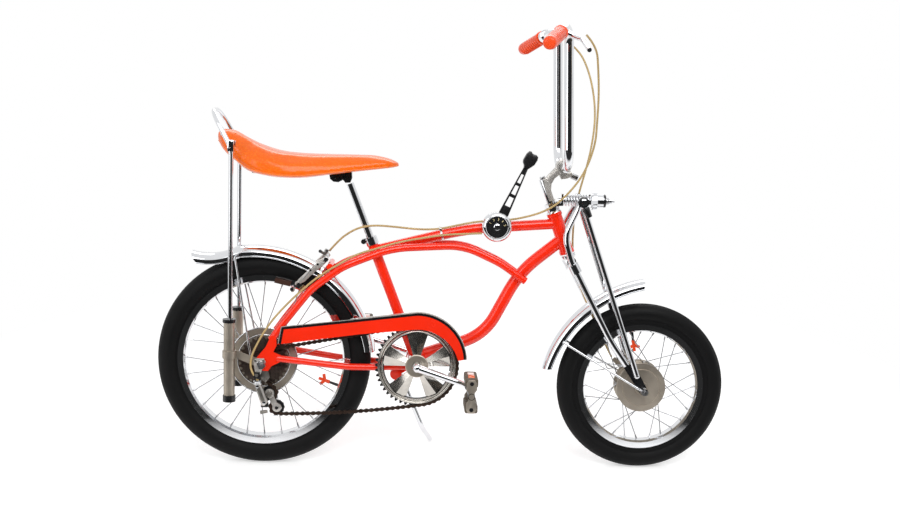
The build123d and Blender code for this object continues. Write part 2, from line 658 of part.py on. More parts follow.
def brake_lever(side):
    """A clamp on the bar and the lever blade that hangs in front of the grip."""
    a, b = along_grip(GRIP_LEN + 6, side), along_grip(GRIP_LEN + 20, side)
    body = bar(a, b, BAR_R + 3.5)
    front = Vector(a.X + 30, a.Y - 4 * side, a.Z - 8)
    body += bar((a + b) * 0.5 + Vector(8, 0, -2), front, 8, 6)
    path = [front - Vector(6, 0, 0), front + Vector(16, 14 * side, -8), (716, 278 * side, 1001)]
    body += rod(path, 5, [16])
    return body - bar(along_grip(GRIP_LEN, side), along_grip(GRIP_LEN + 30, side), BAR_R + 0.05)


def fork_spring():
    """The spring's outer shape, with a groove for each turn of its wire."""
    turns, r_out, wire = 11, 15.0, 3.0
    x0, x1 = 708.0, 774.0
    step = (x1 - x0) / turns
    outline = [(x0, 5.5), (x0, r_out - wire)]
    for i in range(turns):
        for share, radius in ((0.3, r_out), (0.7, r_out), (1, r_out - wire)):
            outline.append((x0 + step * (i + share), radius))
    outline.append((x1, 5.5))
    face = make_face(Plane.XZ * Polyline(*outline, close=True))
    return Pos(0, 0, SPRING_Z) * revolve(face, Axis.X)


def along_spring(x0, x1, r0, r1=None):
    return bar((x0, 0, SPRING_Z), (x1, 0, SPRING_Z), r0, r1)


def spring_barrel():
    """The front cup of the spring and the long bolt through it."""
    body = along_spring(774.5, 803, 17) + along_spring(803, 809, 15) + along_spring(809, 824, 7)
    return body + along_spring(694, 830, 4) + along_spring(694.5, 701.2, 5.8)


def fork_pins():
    pin = across((STRUT_TOP[0], SPRING_Z), PIN_R, 20, 50) + across((STRUT_TOP[0], SPRING_Z), 8.5, 48.5, 52)
    return separate(pin, mirrored(pin))


def front_axle():
    axle = across(FRONT_AXLE, AXLE_R, -86, 86)
    for side in (-1, 1):
        axle += hex_nut(FRONT_AXLE, 9, side * 67.4, side * 77.4)
        axle += ring(FRONT_AXLE, 8, AXLE_R - 0.5, side * (LINK_OUT + SEAT_FIT), side * 61.7)
    axle += ring(FRONT_AXLE, 8, AXLE_R - 0.5, FRONT_FLANGES[0] - 7.8, -LINK_IN + SEAT_FIT)
    return axle + ring(FRONT_AXLE, 8, AXLE_R - 0.5, FRONT_FLANGES[1] + 10.8, LINK_IN - SEAT_FIT)


def brake_plate():
    """The fixed plate in the open side of the front drum, with its arm."""
    y = FRONT_FLANGES[1] + 5.5
    body = ring(FRONT_AXLE, FRONT_DRUM_R - 10, AXLE_R + 0.1, y, y + 5)
    arm = plate([(FRONT_AXLE[0] - 24, 216), (FRONT_AXLE[0] - 12, 226), (FRONT_AXLE[0] - 56, 264),
                 (FRONT_AXLE[0] - 64, 257)], y + 4.5, y + 8.5)
    return body + arm


# Seat and back rest: x, underside, top, half width
SEAT_SECTIONS = [
    (-96, 783, 794, 34), (-66, 746, 781, 54), (-44, 727, 770, 62), (-18, 707, 757, 84), (31, 692, 747, 93),
    (87, 695, 743, 90), (155, 703, 744, 76), (223, 714, 745, 58), (281, 722, 744, 45), (309, 724, 734, 30),
]


def saddle():
    faces = []
    for x, low, high, half in SEAT_SECTIONS:
        tall = high - low
        corner = min(tall * 0.42, 16)
        where = Plane(origin=(x, 0, (low + high) / 2), x_dir=(0, 1, 0), z_dir=(1, 0, 0))
        faces.append(where * RectangleRounded(2 * half, tall, corner))
    return loft(faces, ruled=True)


def saddle_pan():
    """The steel spine under the padding."""
    under = [(x, low - SEAT_FIT) for x, low, high, half in SEAT_SECTIONS[2:9]]
    shape = under + [(x, z - 3.5) for x, z in reversed(under)]
    spine = plate(shape, -22, 22)
    clamp = across(POST_TOP, 13, -17, 17)
    x, z = POST_TOP
    lugs = plate([(x - 12, z - 6), (x + 12, z - 6), (x + 14, 706.5), (x - 14, 703)], -13, 13)
    return spine + clamp + lugs


def seat_post():
    top = Vector(SEAT_TUBE_TOP[0], 0, SEAT_TUBE_TOP[1])
    return bar(top - SEAT_DIR * 80, top + SEAT_DIR * (POST_RISE - 13.4), POST_R)


def seat_clamp():
    top = Vector(SEAT_TUBE_TOP[0], 0, SEAT_TUBE_TOP[1])
    body = bar(top + SEAT_DIR * 0.3, top + SEAT_DIR * 19, SEAT_TUBE_R + 3)
    body += across((top.X - 22, top.Z + 8), 6, -12, 12)
    ear = [(top.X - 22, top.Z + 2), (top.X - 6, top.Z + 4), (top.X - 8, top.Z + 16), (top.X - 22, top.Z + 14)]
    body += plate(ear, -5, 5)
    return body - bar(top - SEAT_DIR * 5, top + SEAT_DIR * 25, POST_R + 0.1)


HOOP_SIDE = [(-73, 80, 357.5), (-50, 79, 700), (-106, 68, 846)]
HOOP_BENDS = [110, 62]
SEAT_BOLT, SEAT_BOLT_END = (-75, 768), 51.0         # holds the seat's side to the post


def sissy_bar():
    """The hooped back rest: a post up from each shock tube, bent back and joined across the top."""
    path = HOOP_SIDE + [(x, -y, z) for x, y, z in reversed(HOOP_SIDE)]
    hoop = rod(path, HOOP_R, HOOP_BENDS + HOOP_BENDS[::-1])
    bolt = across(SEAT_BOLT, 4, SEAT_BOLT_END, 74) + across(SEAT_BOLT, 6.5, SEAT_BOLT_END + 1.6, SEAT_BOLT_END + 4)
    return hoop + bolt + mirrored(bolt)


def shocks():
    x, y = SHOCK
    tube = bar((x, y, SHOCK_LOW + 15.3), (x, y, SHOCK_HIGH - 8.3), SHOCK_R)
    return separate(tube, mirrored(tube))


def shock_caps():
    x, y = SHOCK
    low = bar((x, y, SHOCK_LOW), (x, y, SHOCK_LOW + 15), SHOCK_R + 2)
    high = bar((x, y, SHOCK_HIGH - 8), (x, y, SHOCK_HIGH), SHOCK_R + 2.5)
    high -= bar((x + 2, y, SHOCK_HIGH - 25), (x + 2, y, SHOCK_HIGH + 15), HOOP_R + 0.7)
    return separate(low, high, mirrored(low), mirrored(high))


def shock_brackets():
    """A strap round each shock tube and its arm to the axle."""
    x, y = SHOCK
    side = bar((x, y, 272), (x, y, 290), SHOCK_R + 3)
    side += plate([(x + 6, 274), (-6, 247), (9, 250), (7, 264), (x + 14, 288), (x + 6, 288)], 68.4, 71.2)
    side -= bar((x, y, 260), (x, y, 300), SHOCK_R + SEAT_FIT)
    side -= across(REAR_AXLE, AXLE_R + 0.2, 60, 80)
    return separate(side, mirrored(side))


def side_stand():
    lean_t = math.radians(LEAN)
    foot_y = STAND_FOOT[1]
    foot_z = (STAND_R - REAR_SECTION * (1 - math.cos(lean_t)) + foot_y * math.sin(lean_t)) / math.cos(lean_t)
    foot = Vector(STAND_FOOT[0], foot_y, foot_z)
    pivot = Vector(*STAND_PIVOT)
    leg = rod([pivot + STAND_AXIS * 4, Vector(*STAND_KNEE), foot], STAND_R, [40])
    leg += Pos(foot.X, foot.Y, foot.Z) * Sphere(STAND_R)
    leg += bar(pivot - STAND_AXIS * 4.5, pivot + STAND_AXIS * 9, 12)
    return leg + bar(pivot - STAND_AXIS * 58, pivot, STAND_PIN_R)


# Gear lever on the top tube
SHIFT = (548.6, 587.8)
LEVER_SLOTS = ((40, 56), (68, 84), (95, 108))       # distances up the lever


def shifter_base():
    body = across(SHIFT, 35.6, -17, -31)
    tube = bar((530, 0, 582.3), (567, 0, 585.1), TOP_TUBE_R + 3.5)
    body += tube + plate([(532, 570), (566, 570), (566, 600), (532, 600)], -17.5, -13.5)
    return body - rod([(694, 0, 595), (478, 0, 578.5), (252, 0, 520)], TOP_TUBE_R + SEAT_FIT, [700])


def shifter_lever():
    body = plate([(557, 590), (570, 584), (609, 706), (600, 710)], -34.5, -31.3)
    foot, up = Vector(563.5, 587), Vector(41, 121).normalized()
    for near, far in LEVER_SLOTS:
        ends = [Edge.make_circle(2.3).moved(Pos(*(foot + up * d))) for d in (near, far)]
        body -= plate_of(make_hull(ends), -36, -30)
    body += across(SHIFT, 9, -31.3, -37)
    body += bar((602, -33, 700), (612, -33, 736), 6, 10) + Pos(613, -33, 738) * Sphere(10.5)
    return body


# Brakes
PAD_AT = 77.0                    # where the rear brake grips, degrees round the rim


def rear_brake():
    """Side arms over the fender, on a cross bolt behind the bridge."""
    shape = [(148, 512), (157, 502), (118, 477), (58, 437), (40, 436), (36, 446), (60, 454), (112, 494)]
    arm = plate(shape, 33.5, 37)
    boss = across((146, 504), 4.5, -37, 37)
    return arm + mirrored(arm) + boss


def brake_pads():
    place = polar(REAR_AXLE, REAR_R - RIM_EDGE - 10, PAD_AT)
    y0 = REAR_RIM_HALF + MOVE_GAP
    block = Pos(place[0], (y0 + 33.2) / 2, place[1]) * Rot(0, 90 - PAD_AT, 0) * Box(38, 33.2 - y0, 11)
    return separate(block, mirrored(block))


# Cables, right to left: brake cables from the levers, gear cable from the shifter
CABLE_R = 2.4


def cord(name, points):
    """A cable housing along its chosen points, each bend as large as its runs allow."""
    radii = []
    for a, b, c in zip(points, points[1:], points[2:]):
        u, v = Vector(*b) - Vector(*a), Vector(*c) - Vector(*b)
        turn = math.radians(u.get_angle(v))
        radii.append(0.45 * min(u.length, v.length) / math.tan(turn / 2))
    print(name, "bends", [round(radius, 1) for radius in radii])
    return rod(points, CABLE_R, radii)


UPPER_CABLE = [
    (722, -182, 1036), (748, -168, 1012), (766, -140, 962), (776, -105, 900), (778, -75, 840),
    (770, -62, 788), (748, -60, 722), (712, -50, 670), (668, -34, 629), (634, -25, 614),
]
LOWER_CABLE = [
    (633, -24.7, 613.7), (600, -14, 606), (552, -9, 600.7), (505, -9, 598), (457, -8, 588),
    (414, -8, 577.5), (366, -10, 575.5), (311, -13, 581), (263, -15, 584.5), (228, -15, 580),
    (201, -11, 567), (174, -6, 546), (152, -2, 519),
]
FRONT_CABLE = [
    (722, 182, 1036), (748, 168, 1012), (768, 140, 962), (780, 112, 900), (782, 92, 840),
    (774, 78, 780), (762, 66, 725), (752, 60, 680), (746, 59, 632), (741, 52, 580), (740, 42, 525),
    (750, 37, 465), (776, 37, 405), (806, 37, 342), (832, 36, 290), (846, 34.5, 264),
]
GEAR_CABLE = [
    (514, -23, 571), (476, -22, 569), (425, -23, 566), (372, -24, 557), (318, -26, 547),
    (266, -31, 531), (218, -38, 517.5), (174, -46, 492.5), (130, -51, 465), (92, -57, 433),
    (56, -62, 398), (22, -70, 360), (-6, -76, 316), (-20, -77, 272), (-18, -76, 236), (-6, -70, 214),
]
REAR_LACING = [(REAR_FLANGE_R, REAR_FLANGES[0] + 3.6), (REAR_FLANGE_R, REAR_FLANGES[1] - 3.6)]
FRONT_LACING = [(FRONT_DRUM_R - 4.5, FRONT_FLANGES[0] + 4.6), (FRONT_DRUM_R - 4.5, FRONT_FLANGES[1] - 4.6)]


PARTS = {
    "frame": frame, "head_cups": head_cups, "bb_cups": bb_cups, "rear_axle": rear_axle,
    "rear_tyre": lambda: tyre(REAR_AXLE, REAR_R, REAR_SECTION, REAR_RIM_HALF),
    "rear_rim": lambda: rim(REAR_AXLE, REAR_R, REAR_RIM_HALF),
    "rear_hub": rear_hub,
    "rear_spokes": lambda: spokes(REAR_AXLE, REAR_R, REAR_LACING),
    "spoke_guard": spoke_guard,
    "rear_valve": lambda: valve(REAR_AXLE, REAR_R, -20),
    "front_tyre": lambda: tyre(FRONT_AXLE, FRONT_R, FRONT_SECTION, FRONT_RIM_HALF),
    "front_rim": lambda: rim(FRONT_AXLE, FRONT_R, FRONT_RIM_HALF),
    "front_hub": front_hub,
    "front_spokes": lambda: spokes(FRONT_AXLE, FRONT_R, FRONT_LACING),
    "front_valve": lambda: valve(FRONT_AXLE, FRONT_R, 100),
    "crank": crank, "chainring": chainring,
    "pedal_right": lambda: pedal(-1), "pedal_left": lambda: pedal(1),
    "chain": chain, "rear_sprockets": rear_sprockets, "jockey_pulleys": pulleys, "derailleur": derailleur,
    "chain_guard": chain_guard, "rear_fender": rear_fender, "front_fender": front_fender,
    "rear_fender_stays": rear_fender_stays, "front_fender_stays": front_fender_stays,
    "fork_crown": fork_crown,
    "fork_legs": lambda: separate(fork_legs(), mirrored(fork_legs())),
    "fork_struts": fork_struts,
    "fork_links": lambda: separate(fork_links(), mirrored(fork_links())),
    "fork_pins": fork_pins, "headset": headset, "fork_spring": fork_spring, "spring_barrel": spring_barrel,
    "stem": stem, "handlebar": handlebar, "grips": lambda: separate(grip(-1), grip(1)),
    "brake_levers": lambda: separate(brake_lever(-1), brake_lever(1)),
    "front_axle": front_axle, "brake_plate": brake_plate,
    "saddle": saddle, "saddle_pan": saddle_pan, "seat_post": seat_post, "seat_clamp": seat_clamp,
    "sissy_bar": sissy_bar, "shocks": shocks, "shock_caps": shock_caps, "shock_brackets": shock_brackets,
    "side_stand": side_stand, "shifter_base": shifter_base, "shifter_lever": shifter_lever,
    "rear_brake": rear_brake, "brake_pads": brake_pads,
    "brake_cable_upper": lambda: cord("upper brake cable", UPPER_CABLE),
    "brake_cable_lower": lambda: cord("lower brake cable", LOWER_CABLE),
    "brake_cable_front": lambda: cord("front brake cable", FRONT_CABLE),
    "gear_cable": lambda: cord("gear cable", GEAR_CABLE),
}


def main():
    os.makedirs("parts", exist_ok=True)
    leaned = {name: Rot(-LEAN, 0, 0) * make() for name, make in PARTS.items()}
    boxes = [solid.bounding_box() for solid in leaned.values()]
    low = [min(getattr(b.min, axis) for b in boxes) for axis in "XYZ"]
    high = [max(getattr(b.max, axis) for b in boxes) for axis in "XYZ"]
    shift = Pos(-(low[0] + high[0]) / 2, -(low[1] + high[1]) / 2, -low[2])
    print("moved by", -(low[0] + high[0]) / 2, -(low[1] + high[1]) / 2, -low[2])
    for name, solid in leaned.items():
        export_step(shift * solid, "parts/%s.step" % name)


main()
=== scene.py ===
"""The looks of a chopper bicycle: finishes for the CAD pieces, and the pieces that need
more shape than the CAD gives them, such as the padded seat, tyres, chain, spring and cables."""

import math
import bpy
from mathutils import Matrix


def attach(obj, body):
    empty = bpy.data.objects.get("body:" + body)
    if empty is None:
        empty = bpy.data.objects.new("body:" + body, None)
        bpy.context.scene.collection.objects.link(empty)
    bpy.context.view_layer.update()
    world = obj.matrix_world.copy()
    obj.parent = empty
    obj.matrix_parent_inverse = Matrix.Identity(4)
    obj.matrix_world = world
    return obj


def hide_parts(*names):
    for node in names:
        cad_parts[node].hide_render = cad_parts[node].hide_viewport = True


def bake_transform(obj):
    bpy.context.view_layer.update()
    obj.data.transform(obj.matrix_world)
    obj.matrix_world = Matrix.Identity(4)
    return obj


bl_info = {
    "name": "Chopper Bicycle",
    "version": (1, 0, 0),
    "blender": (4, 5, 0),
    "location": "View3D > Sidebar > Chopper",
    "description": "Dresses the packed model of a chopper bicycle",
    "category": "Object",
}

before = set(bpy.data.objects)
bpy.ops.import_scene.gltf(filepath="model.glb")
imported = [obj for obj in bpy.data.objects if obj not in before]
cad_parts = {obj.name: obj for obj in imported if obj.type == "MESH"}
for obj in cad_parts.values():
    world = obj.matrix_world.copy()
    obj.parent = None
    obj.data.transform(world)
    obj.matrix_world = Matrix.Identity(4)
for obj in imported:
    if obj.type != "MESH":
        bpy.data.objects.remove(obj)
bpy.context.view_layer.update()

import bmesh
import bpy
from bpy.props import FloatProperty, FloatVectorProperty, IntProperty, PointerProperty
from mathutils import Matrix, Vector
from mathutils.bvhtree import BVHTree

# The CAD pieces are drawn upright, in millimetres from the rear tyre's contact point, then
# leaned onto the side stand and moved. New pieces are drawn the same way and then placed.
LEAN = math.radians(8.0)
SHIFT = Vector((-0.429, -0.14198207, 0.00026276))
TURNED = Matrix.Rotation(-LEAN, 4, "X")
PLACED = Matrix.Translation(SHIFT) @ TURNED @ Matrix.Scale(0.001, 4)

REAR_R, FRONT_R = 255.0, 202.5
REAR_AXLE = Vector((0.0, 0.0, REAR_R))
FRONT_AXLE = Vector((910.5, 0.0, FRONT_R))
RIM_EDGE, RIM_DEPTH = 49.0, 18.0        # tyre's outside to the rim's lip, and the rim's depth
BOTTOM_BRACKET = Vector((365.3, 0.0, 254.0))
CRANK_LENGTH, CRANK_TURN = 132.0, -18.5
CHAIN_Y, PITCH = -50.0, 12.7
PULLEYS = (17.0, 182.0), (34.5, 148.0)
SPRING_Z = 652.0
HEAD_TOP, HEAD_ANGLE = Vector((686.1, 0.0, 622.0)), math.radians(69.8)
FULL_TURN = 2 * math.pi


# Sizes and colours
def size(name, description, default, low, high):
    return FloatProperty(name=name, description=description + ", mm", default=default, min=low, max=high)


def colour(name, description, default):
    return FloatVectorProperty(name=name, description=description, default=default, subtype="COLOR", size=3, min=0,
                               max=1)


class ChopperSizes(bpy.types.PropertyGroup):
    spring_wire: size("Spring wire", "Radius of the fork spring's wire", 2.1, 1.0, 3.0)
    spring_turns: IntProperty(name="Spring turns", description="Turns of the fork spring", default=9, min=4, max=14)
    cable_radius: size("Cable radius", "Radius of a cable's housing", 2.4, 1.5, 4.0)
    tread_depth: size("Rib depth", "Depth of the grooves between the front tyre's ribs", 1.1, 0.0, 2.0)
    stuffing: FloatProperty(name="Stuffing", description="Air pressure that fills the seat when it is simulated",
                            default=4.0, min=0.0, max=10.0)
    piping_radius: size("Piping radius", "Radius of the seat's piping", 1.7, 0.5, 4.0)


class ChopperColours(bpy.types.PropertyGroup):
    enamel: colour("Enamel", "Paint of the frame and chain guard", (0.94, 0.022, 0.001))
    vinyl: colour("Vinyl", "Cover of the seat", (0.96, 0.135, 0.001))
    grip: colour("Grips", "Plastic of the grips and valve caps", (0.94, 0.075, 0.008))
    cable: colour("Cables", "Housing of the cables", (0.52, 0.37, 0.16))


# Node helpers
def node(tree, kind, values=None, **settings):
    """A shader node: values go to its inputs, as numbers or as links from other sockets."""
    made = tree.nodes.new(kind)
    for key, value in settings.items():
        setattr(made, key, value)
    for key, value in (values or {}).items():
        if isinstance(value, bpy.types.NodeSocket):
            tree.links.new(value, made.inputs[key])
        else:
            made.inputs[key].default_value = value
    return made


def span(tree, value, low, high, to_low=0.0, to_high=1.0):
    """Carries a value from between low and high to between to_low and to_high."""
    limits = {"From Min": low, "From Max": high, "To Min": to_low, "To Max": to_high}
    return node(tree, "ShaderNodeMapRange", {"Value": value, **limits}).outputs["Result"]


def mix_colours(tree, share, a, b, kind="MIX"):
    return node(tree, "ShaderNodeMix", {0: share, 6: a, 7: b}, data_type="RGBA", blend_type=kind).outputs[2]


def mix_shaders(tree, share, a, b):
    return node(tree, "ShaderNodeMixShader", {0: share, 1: a.outputs[0], 2: b.outputs[0]})


def group(name, numbers, outputs, colours=()):
    """A new node group, with its inputs, its outputs and a place on the piece to start from."""
    tree = bpy.data.node_groups.new(name, "ShaderNodeTree")
    for label in colours:
        tree.interface.new_socket(label, in_out="INPUT", socket_type="NodeSocketColor")
    for label in numbers:
        tree.interface.new_socket(label, in_out="INPUT", socket_type="NodeSocketFloat")
    for label, kind in outputs.items():
        tree.interface.new_socket(label, in_out="OUTPUT", socket_type="NodeSocket" + kind)
    place = node(tree, "ShaderNodeTexCoord").outputs["Object"]
    return tree, tree.nodes.new("NodeGroupInput").outputs, tree.nodes.new("NodeGroupOutput").inputs, place


def shared_groups():
    """The node groups that the finishes share."""
    tree, give, take, place = group("Uneven polish", ("Size", "Low", "High"), {"Roughness": "Float"})
    values = {"Vector": place, "Scale": give["Size"], "Detail": 5.0, "Roughness": 0.62}
    broad = node(tree, "ShaderNodeTexNoise", values)
    tree.links.new(span(tree, broad.outputs["Fac"], 0.3, 0.7, give["Low"], give["High"]), take["Roughness"])

    tree, give, take, place = group("Uneven tone", ("Size", "Share"), {"Colour": "Color"}, ("Colour",))
    broad = node(tree, "ShaderNodeTexNoise", {"Vector": place, "Scale": give["Size"], "Detail": 4.0})
    lift = span(tree, broad.outputs["Fac"], 0.3, 0.7, give["Share"])
    grey = node(tree, "ShaderNodeCombineColor", {"Red": lift, "Green": lift, "Blue": lift}).outputs["Color"]
    tree.links.new(mix_colours(tree, 1.0, give["Colour"], grey, "MULTIPLY"), take["Colour"])

    bump_inputs = ("Size", "Depth", "Strength")
    tree, give, take, place = group("Fine grain", bump_inputs, {"Normal": "Vector"})
    fine = node(tree, "ShaderNodeTexNoise", {"Vector": place, "Scale": give["Size"], "Detail": 3.0})
    relief = {"Height": fine.outputs["Fac"], "Distance": give["Depth"], "Strength": give["Strength"]}
    tree.links.new(node(tree, "ShaderNodeBump", relief).outputs["Normal"], take["Normal"])

    tree, give, take, place = group("Pebbled skin", bump_inputs, {"Normal": "Vector", "Cell": "Color"})
    cells = node(tree, "ShaderNodeTexVoronoi", {"Vector": place, "Scale": give["Size"]})
    relief = {"Height": cells.outputs["Distance"], "Distance": give["Depth"], "Strength": give["Strength"]}
    tree.links.new(node(tree, "ShaderNodeBump", relief).outputs["Normal"], take["Normal"])
    tree.links.new(cells.outputs["Color"], take["Cell"])


def use_group(tree, name, values):
    return node(tree, "ShaderNodeGroup", values, node_tree=bpy.data.node_groups[name])


# name: colour, metal, roughness low and high, size of its unevenness, darkest share of the
# colour, grain size, grain depth, specular level, coat, coat roughness
FINISHES = {
    "Chrome": ((0.78, 0.79, 0.81), 1.0, 0.03, 0.11, 26, 0.93, 180, 0.00002),
    "Polished steel": ((0.66, 0.63, 0.58), 1.0, 0.10, 0.22, 60, 0.80, 700, 0.00003),
    "Satin alloy": ((0.50, 0.44, 0.365), 0.75, 0.30, 0.46, 40, 0.80, 1400, 0.00004),
    "Bright alloy": ((0.66, 0.63, 0.59), 0.55, 0.22, 0.40, 70, 0.72, 900, 0.00005),
    "Cast alloy": ((0.27, 0.25, 0.225), 0.7, 0.24, 0.44, 90, 0.62, 900, 0.00006),
    "Zinc steel": ((0.50, 0.50, 0.51), 1.0, 0.22, 0.40, 60, 0.80, 900, 0.00003),
    "Spoke steel": ((0.45, 0.46, 0.48), 1.0, 0.16, 0.30, 60, 0.85, 900, 0.00002),
    "Dark chain": ((0.085, 0.055, 0.042), 0.85, 0.30, 0.52, 90, 0.55, 800, 0.00005, 0.4),
    "Sprocket steel": ((0.17, 0.13, 0.11), 0.9, 0.28, 0.50, 70, 0.55, 700, 0.00005, 0.4),
    "Black enamel": ((0.008, 0.008, 0.009), 0.0, 0.20, 0.34, 30, 0.85, 600, 0.00003, 0.4, 0.35, 0.08),
    "Black plastic": ((0.010, 0.010, 0.011), 0.0, 0.24, 0.42, 40, 0.85, 900, 0.00004, 0.35),
    "Pad rubber": ((0.055, 0.022, 0.014), 0.0, 0.55, 0.75, 60, 0.70, 900, 0.0001, 0.2),
    "Tyre rubber": ((0.0055, 0.0055, 0.0058), 0.0, 0.50, 0.68, 14, 0.72, 1600, 0.00005, 0.14),
    "Pedal rubber": ((0.135, 0.112, 0.082), 0.0, 0.42, 0.62, 50, 0.70, 1100, 0.0001, 0.25),
    "Dial cream": ((0.78, 0.66, 0.36), 0.0, 0.30, 0.42, 80, 0.95, 900, 0.00001, 0.4),
    "Amber reflector": ((0.90, 0.16, 0.012), 0.0, 0.08, 0.16, 80, 0.80, 900, 0.00002, 0.5, 1.0),
    "Welt vinyl": ((0.96, 0.20, 0.02), 0.0, 0.24, 0.36, 40, 0.92, 900, 0.00003, 0.3, 0.3, 0.1),
}


def finish(name):
    """A finish by name, made from the table above the first time that it is asked for."""
    return bpy.data.materials.get(name) or surface(name, *FINISHES[name])


def surface(name, base, metal, low, high, broad, share, grain, depth, shine=0.5, coat=0.0, coat_rough=0.03):
    material = bpy.data.materials.new(name)
    material.use_nodes = True
    tree = material.node_tree
    shader = tree.nodes["Principled BSDF"]
    shader.inputs["Metallic"].default_value = metal
    shader.inputs["Coat Weight"].default_value = coat
    shader.inputs["Coat Roughness"].default_value = coat_rough
    shader.inputs["Specular IOR Level"].default_value = shine
    tone = use_group(tree, "Uneven tone", {"Colour": (*base, 1.0), "Size": broad * 0.6, "Share": share})
    polish = use_group(tree, "Uneven polish", {"Size": float(broad), "Low": low, "High": high})
    skin = use_group(tree, "Fine grain", {"Size": float(grain), "Depth": depth, "Strength": 1.0})
    tree.links.new(tone.outputs["Colour"], shader.inputs["Base Color"])
    tree.links.new(polish.outputs["Roughness"], shader.inputs["Roughness"])
    tree.links.new(skin.outputs["Normal"], shader.inputs["Normal"])
    return material


# Mesh helpers
def to_mesh(name, part):
    mesh = bpy.data.meshes.new(name)
    part.to_mesh(mesh)
    part.free()
    return mesh


def set_out(name, data):
    holder = bpy.data.objects.new(name, data)
    bpy.context.collection.objects.link(holder)
    return holder


def as_mesh(data):
    """The mesh that a curve or a text gives."""
    holder = set_out("reader", data)
    mesh = bpy.data.meshes.new_from_object(holder)
    bpy.data.objects.remove(holder)
    return mesh


def add_piece(name, shape, body, finishes, replaced=(), smooth=38.0):
    """Places a bmesh drawn upright in millimetres, and makes it a piece that rides on a body."""
    bmesh.ops.transform(shape, matrix=PLACED, verts=shape.verts)
    return keep(name, shape, body, finishes, replaced, smooth)


def keep(name, shape, body, finishes, replaced=(), smooth=38.0):
    """Makes a placed bmesh a piece: smooth is the sharpest angle that still shades smoothly."""
    mesh = to_mesh(name, shape)
    mesh.polygons.foreach_set("use_smooth", [True] * len(mesh.polygons))
    if smooth:
        mesh.set_sharp_from_angle(angle=math.radians(smooth))
    piece = set_out(name, mesh)
    for each in finishes if isinstance(finishes, (list, tuple)) else [finishes]:
        mesh.materials.append(finish(each))
    if body:
        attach(piece, body)
    if replaced:
        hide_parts(*replaced)
    return piece


def stamp(shape, part, place=None, material=0):
    """Moves a finished part into place and adds it to a larger shape."""
    if place:
        bmesh.ops.transform(part, matrix=place, verts=part.verts)
    for face in part.faces:
        face.material_index = material
    scrap = to_mesh("scrap", part)
    shape.from_mesh(scrap)
    bpy.data.meshes.remove(scrap)


def polar(centre, radius, angle, y=0.0):
    """The point at an angle on a circle that lies across the bicycle."""
    return Vector((centre[0] + radius * math.cos(angle), y, centre[2] + radius * math.sin(angle)))


def spun(shape, outline, centre, steps=96, material=0):
    """Adds what a closed outline of (radius, y) points sweeps about the cross line at centre."""
    part = bmesh.new()
    ring = [part.verts.new((r, y, 0)) for r, y in outline]
    edges = [part.edges.new((ring[i], ring[(i + 1) % len(ring)])) for i in range(len(ring))]
    bmesh.ops.spin(part, geom=ring + edges, cent=(0, 0, 0), axis=(0, 1, 0), angle=FULL_TURN, steps=steps,
                   use_merge=True, use_duplicate=False)
    bmesh.ops.remove_doubles(part, verts=part.verts, dist=1e-4)
    bmesh.ops.recalc_face_normals(part, faces=part.faces)
    stamp(shape, part, Matrix.Translation(centre), material)


def rod(shape, start, end, r0, r1=None, sides=16, material=0, bevel=0.0):
    """Adds a round bar from start to end."""
    start, end = Vector(start), Vector(end)
    run = end - start
    turn = run.to_track_quat("Z", "Y").to_matrix().to_4x4()
    part = bmesh.new()
    r1 = r0 if r1 is None else r1
    bmesh.ops.create_cone(part, cap_ends=True, segments=sides, radius1=r0, radius2=r1, depth=run.length)
    if bevel:
        rims = [edge for edge in part.edges if abs(edge.verts[0].co.z - edge.verts[1].co.z) < 1e-6]
        round_off(part, rims, bevel)
    stamp(shape, part, Matrix.Translation((start + end) / 2) @ turn, material)


def round_off(part, edges, width):
    bmesh.ops.bevel(part, geom=edges, offset=width, offset_type="OFFSET", affect="EDGES", segments=2, profile=0.5,
                    material=-1, clamp_overlap=True)


def block(shape, centre, size, bevel=1.0, material=0):
    """Adds a box with rounded edges."""
    part = bmesh.new()
    bmesh.ops.create_cube(part, size=1.0, matrix=Matrix.Diagonal((*size, 1.0)))
    if bevel:
        round_off(part, part.edges[:], bevel)
    stamp(shape, part, Matrix.Translation(centre), material)


def slab(shape, outline, y0, y1, bevel=0.0, material=0):
    """Adds a flat plate between y0 and y1 with an outline of (x, z) points."""
    part = bmesh.new()
    low, high = min(y0, y1), max(y0, y1)
    face = part.faces.new([part.verts.new((x, low, z)) for x, z in outline])
    grown = bmesh.ops.extrude_face_region(part, geom=[face])
    lifted = [item for item in grown["geom"] if isinstance(item, bmesh.types.BMVert)]
    bmesh.ops.translate(part, vec=(0, high - low, 0), verts=lifted)
    bmesh.ops.recalc_face_normals(part, faces=part.faces)
    if bevel:
        round_off(part, [edge for edge in part.edges if abs(edge.verts[0].co.y - edge.verts[1].co.y) < 1e-6], bevel)
    stamp(shape, part, None, material)


def pin(shape, x, z, y0, y1, radius, sides, material=0, bevel=0.0):
    """Adds a round bar across the bicycle, from y0 to y1."""
    rod(shape, (x, y0, z), (x, y1, z), radius, None, sides, material, bevel)


def add_each(make, shape, rows):
    """Adds several parts of one kind, from the values of each."""
    for row in rows:
        make(shape, *row)


def flat(points):
    """The (x, z) of points that lie in one plane along the bicycle."""
    return [(p.x, p.z) for p in points]


def smooth_line(name, points, order=3, cyclic=False, fineness=12):
    """The points of a NURBS line that has these control points, in metres."""
    curve = bpy.data.curves.new(name, "CURVE")
    curve.dimensions = "3D"
    spline = curve.splines.new("NURBS")
    spline.points.add(len(points) - 1)
    for point, place in zip(spline.points, points):
        point.co = (*place, 1.0)
    spline.use_cyclic_u = cyclic
    spline.order_u = order
    spline.use_endpoint_u = not cyclic
    spline.resolution_u = fineness
    mesh = as_mesh(curve)
    line = [vert.co.copy() for vert in mesh.vertices]
    bpy.data.meshes.remove(mesh)
    return line


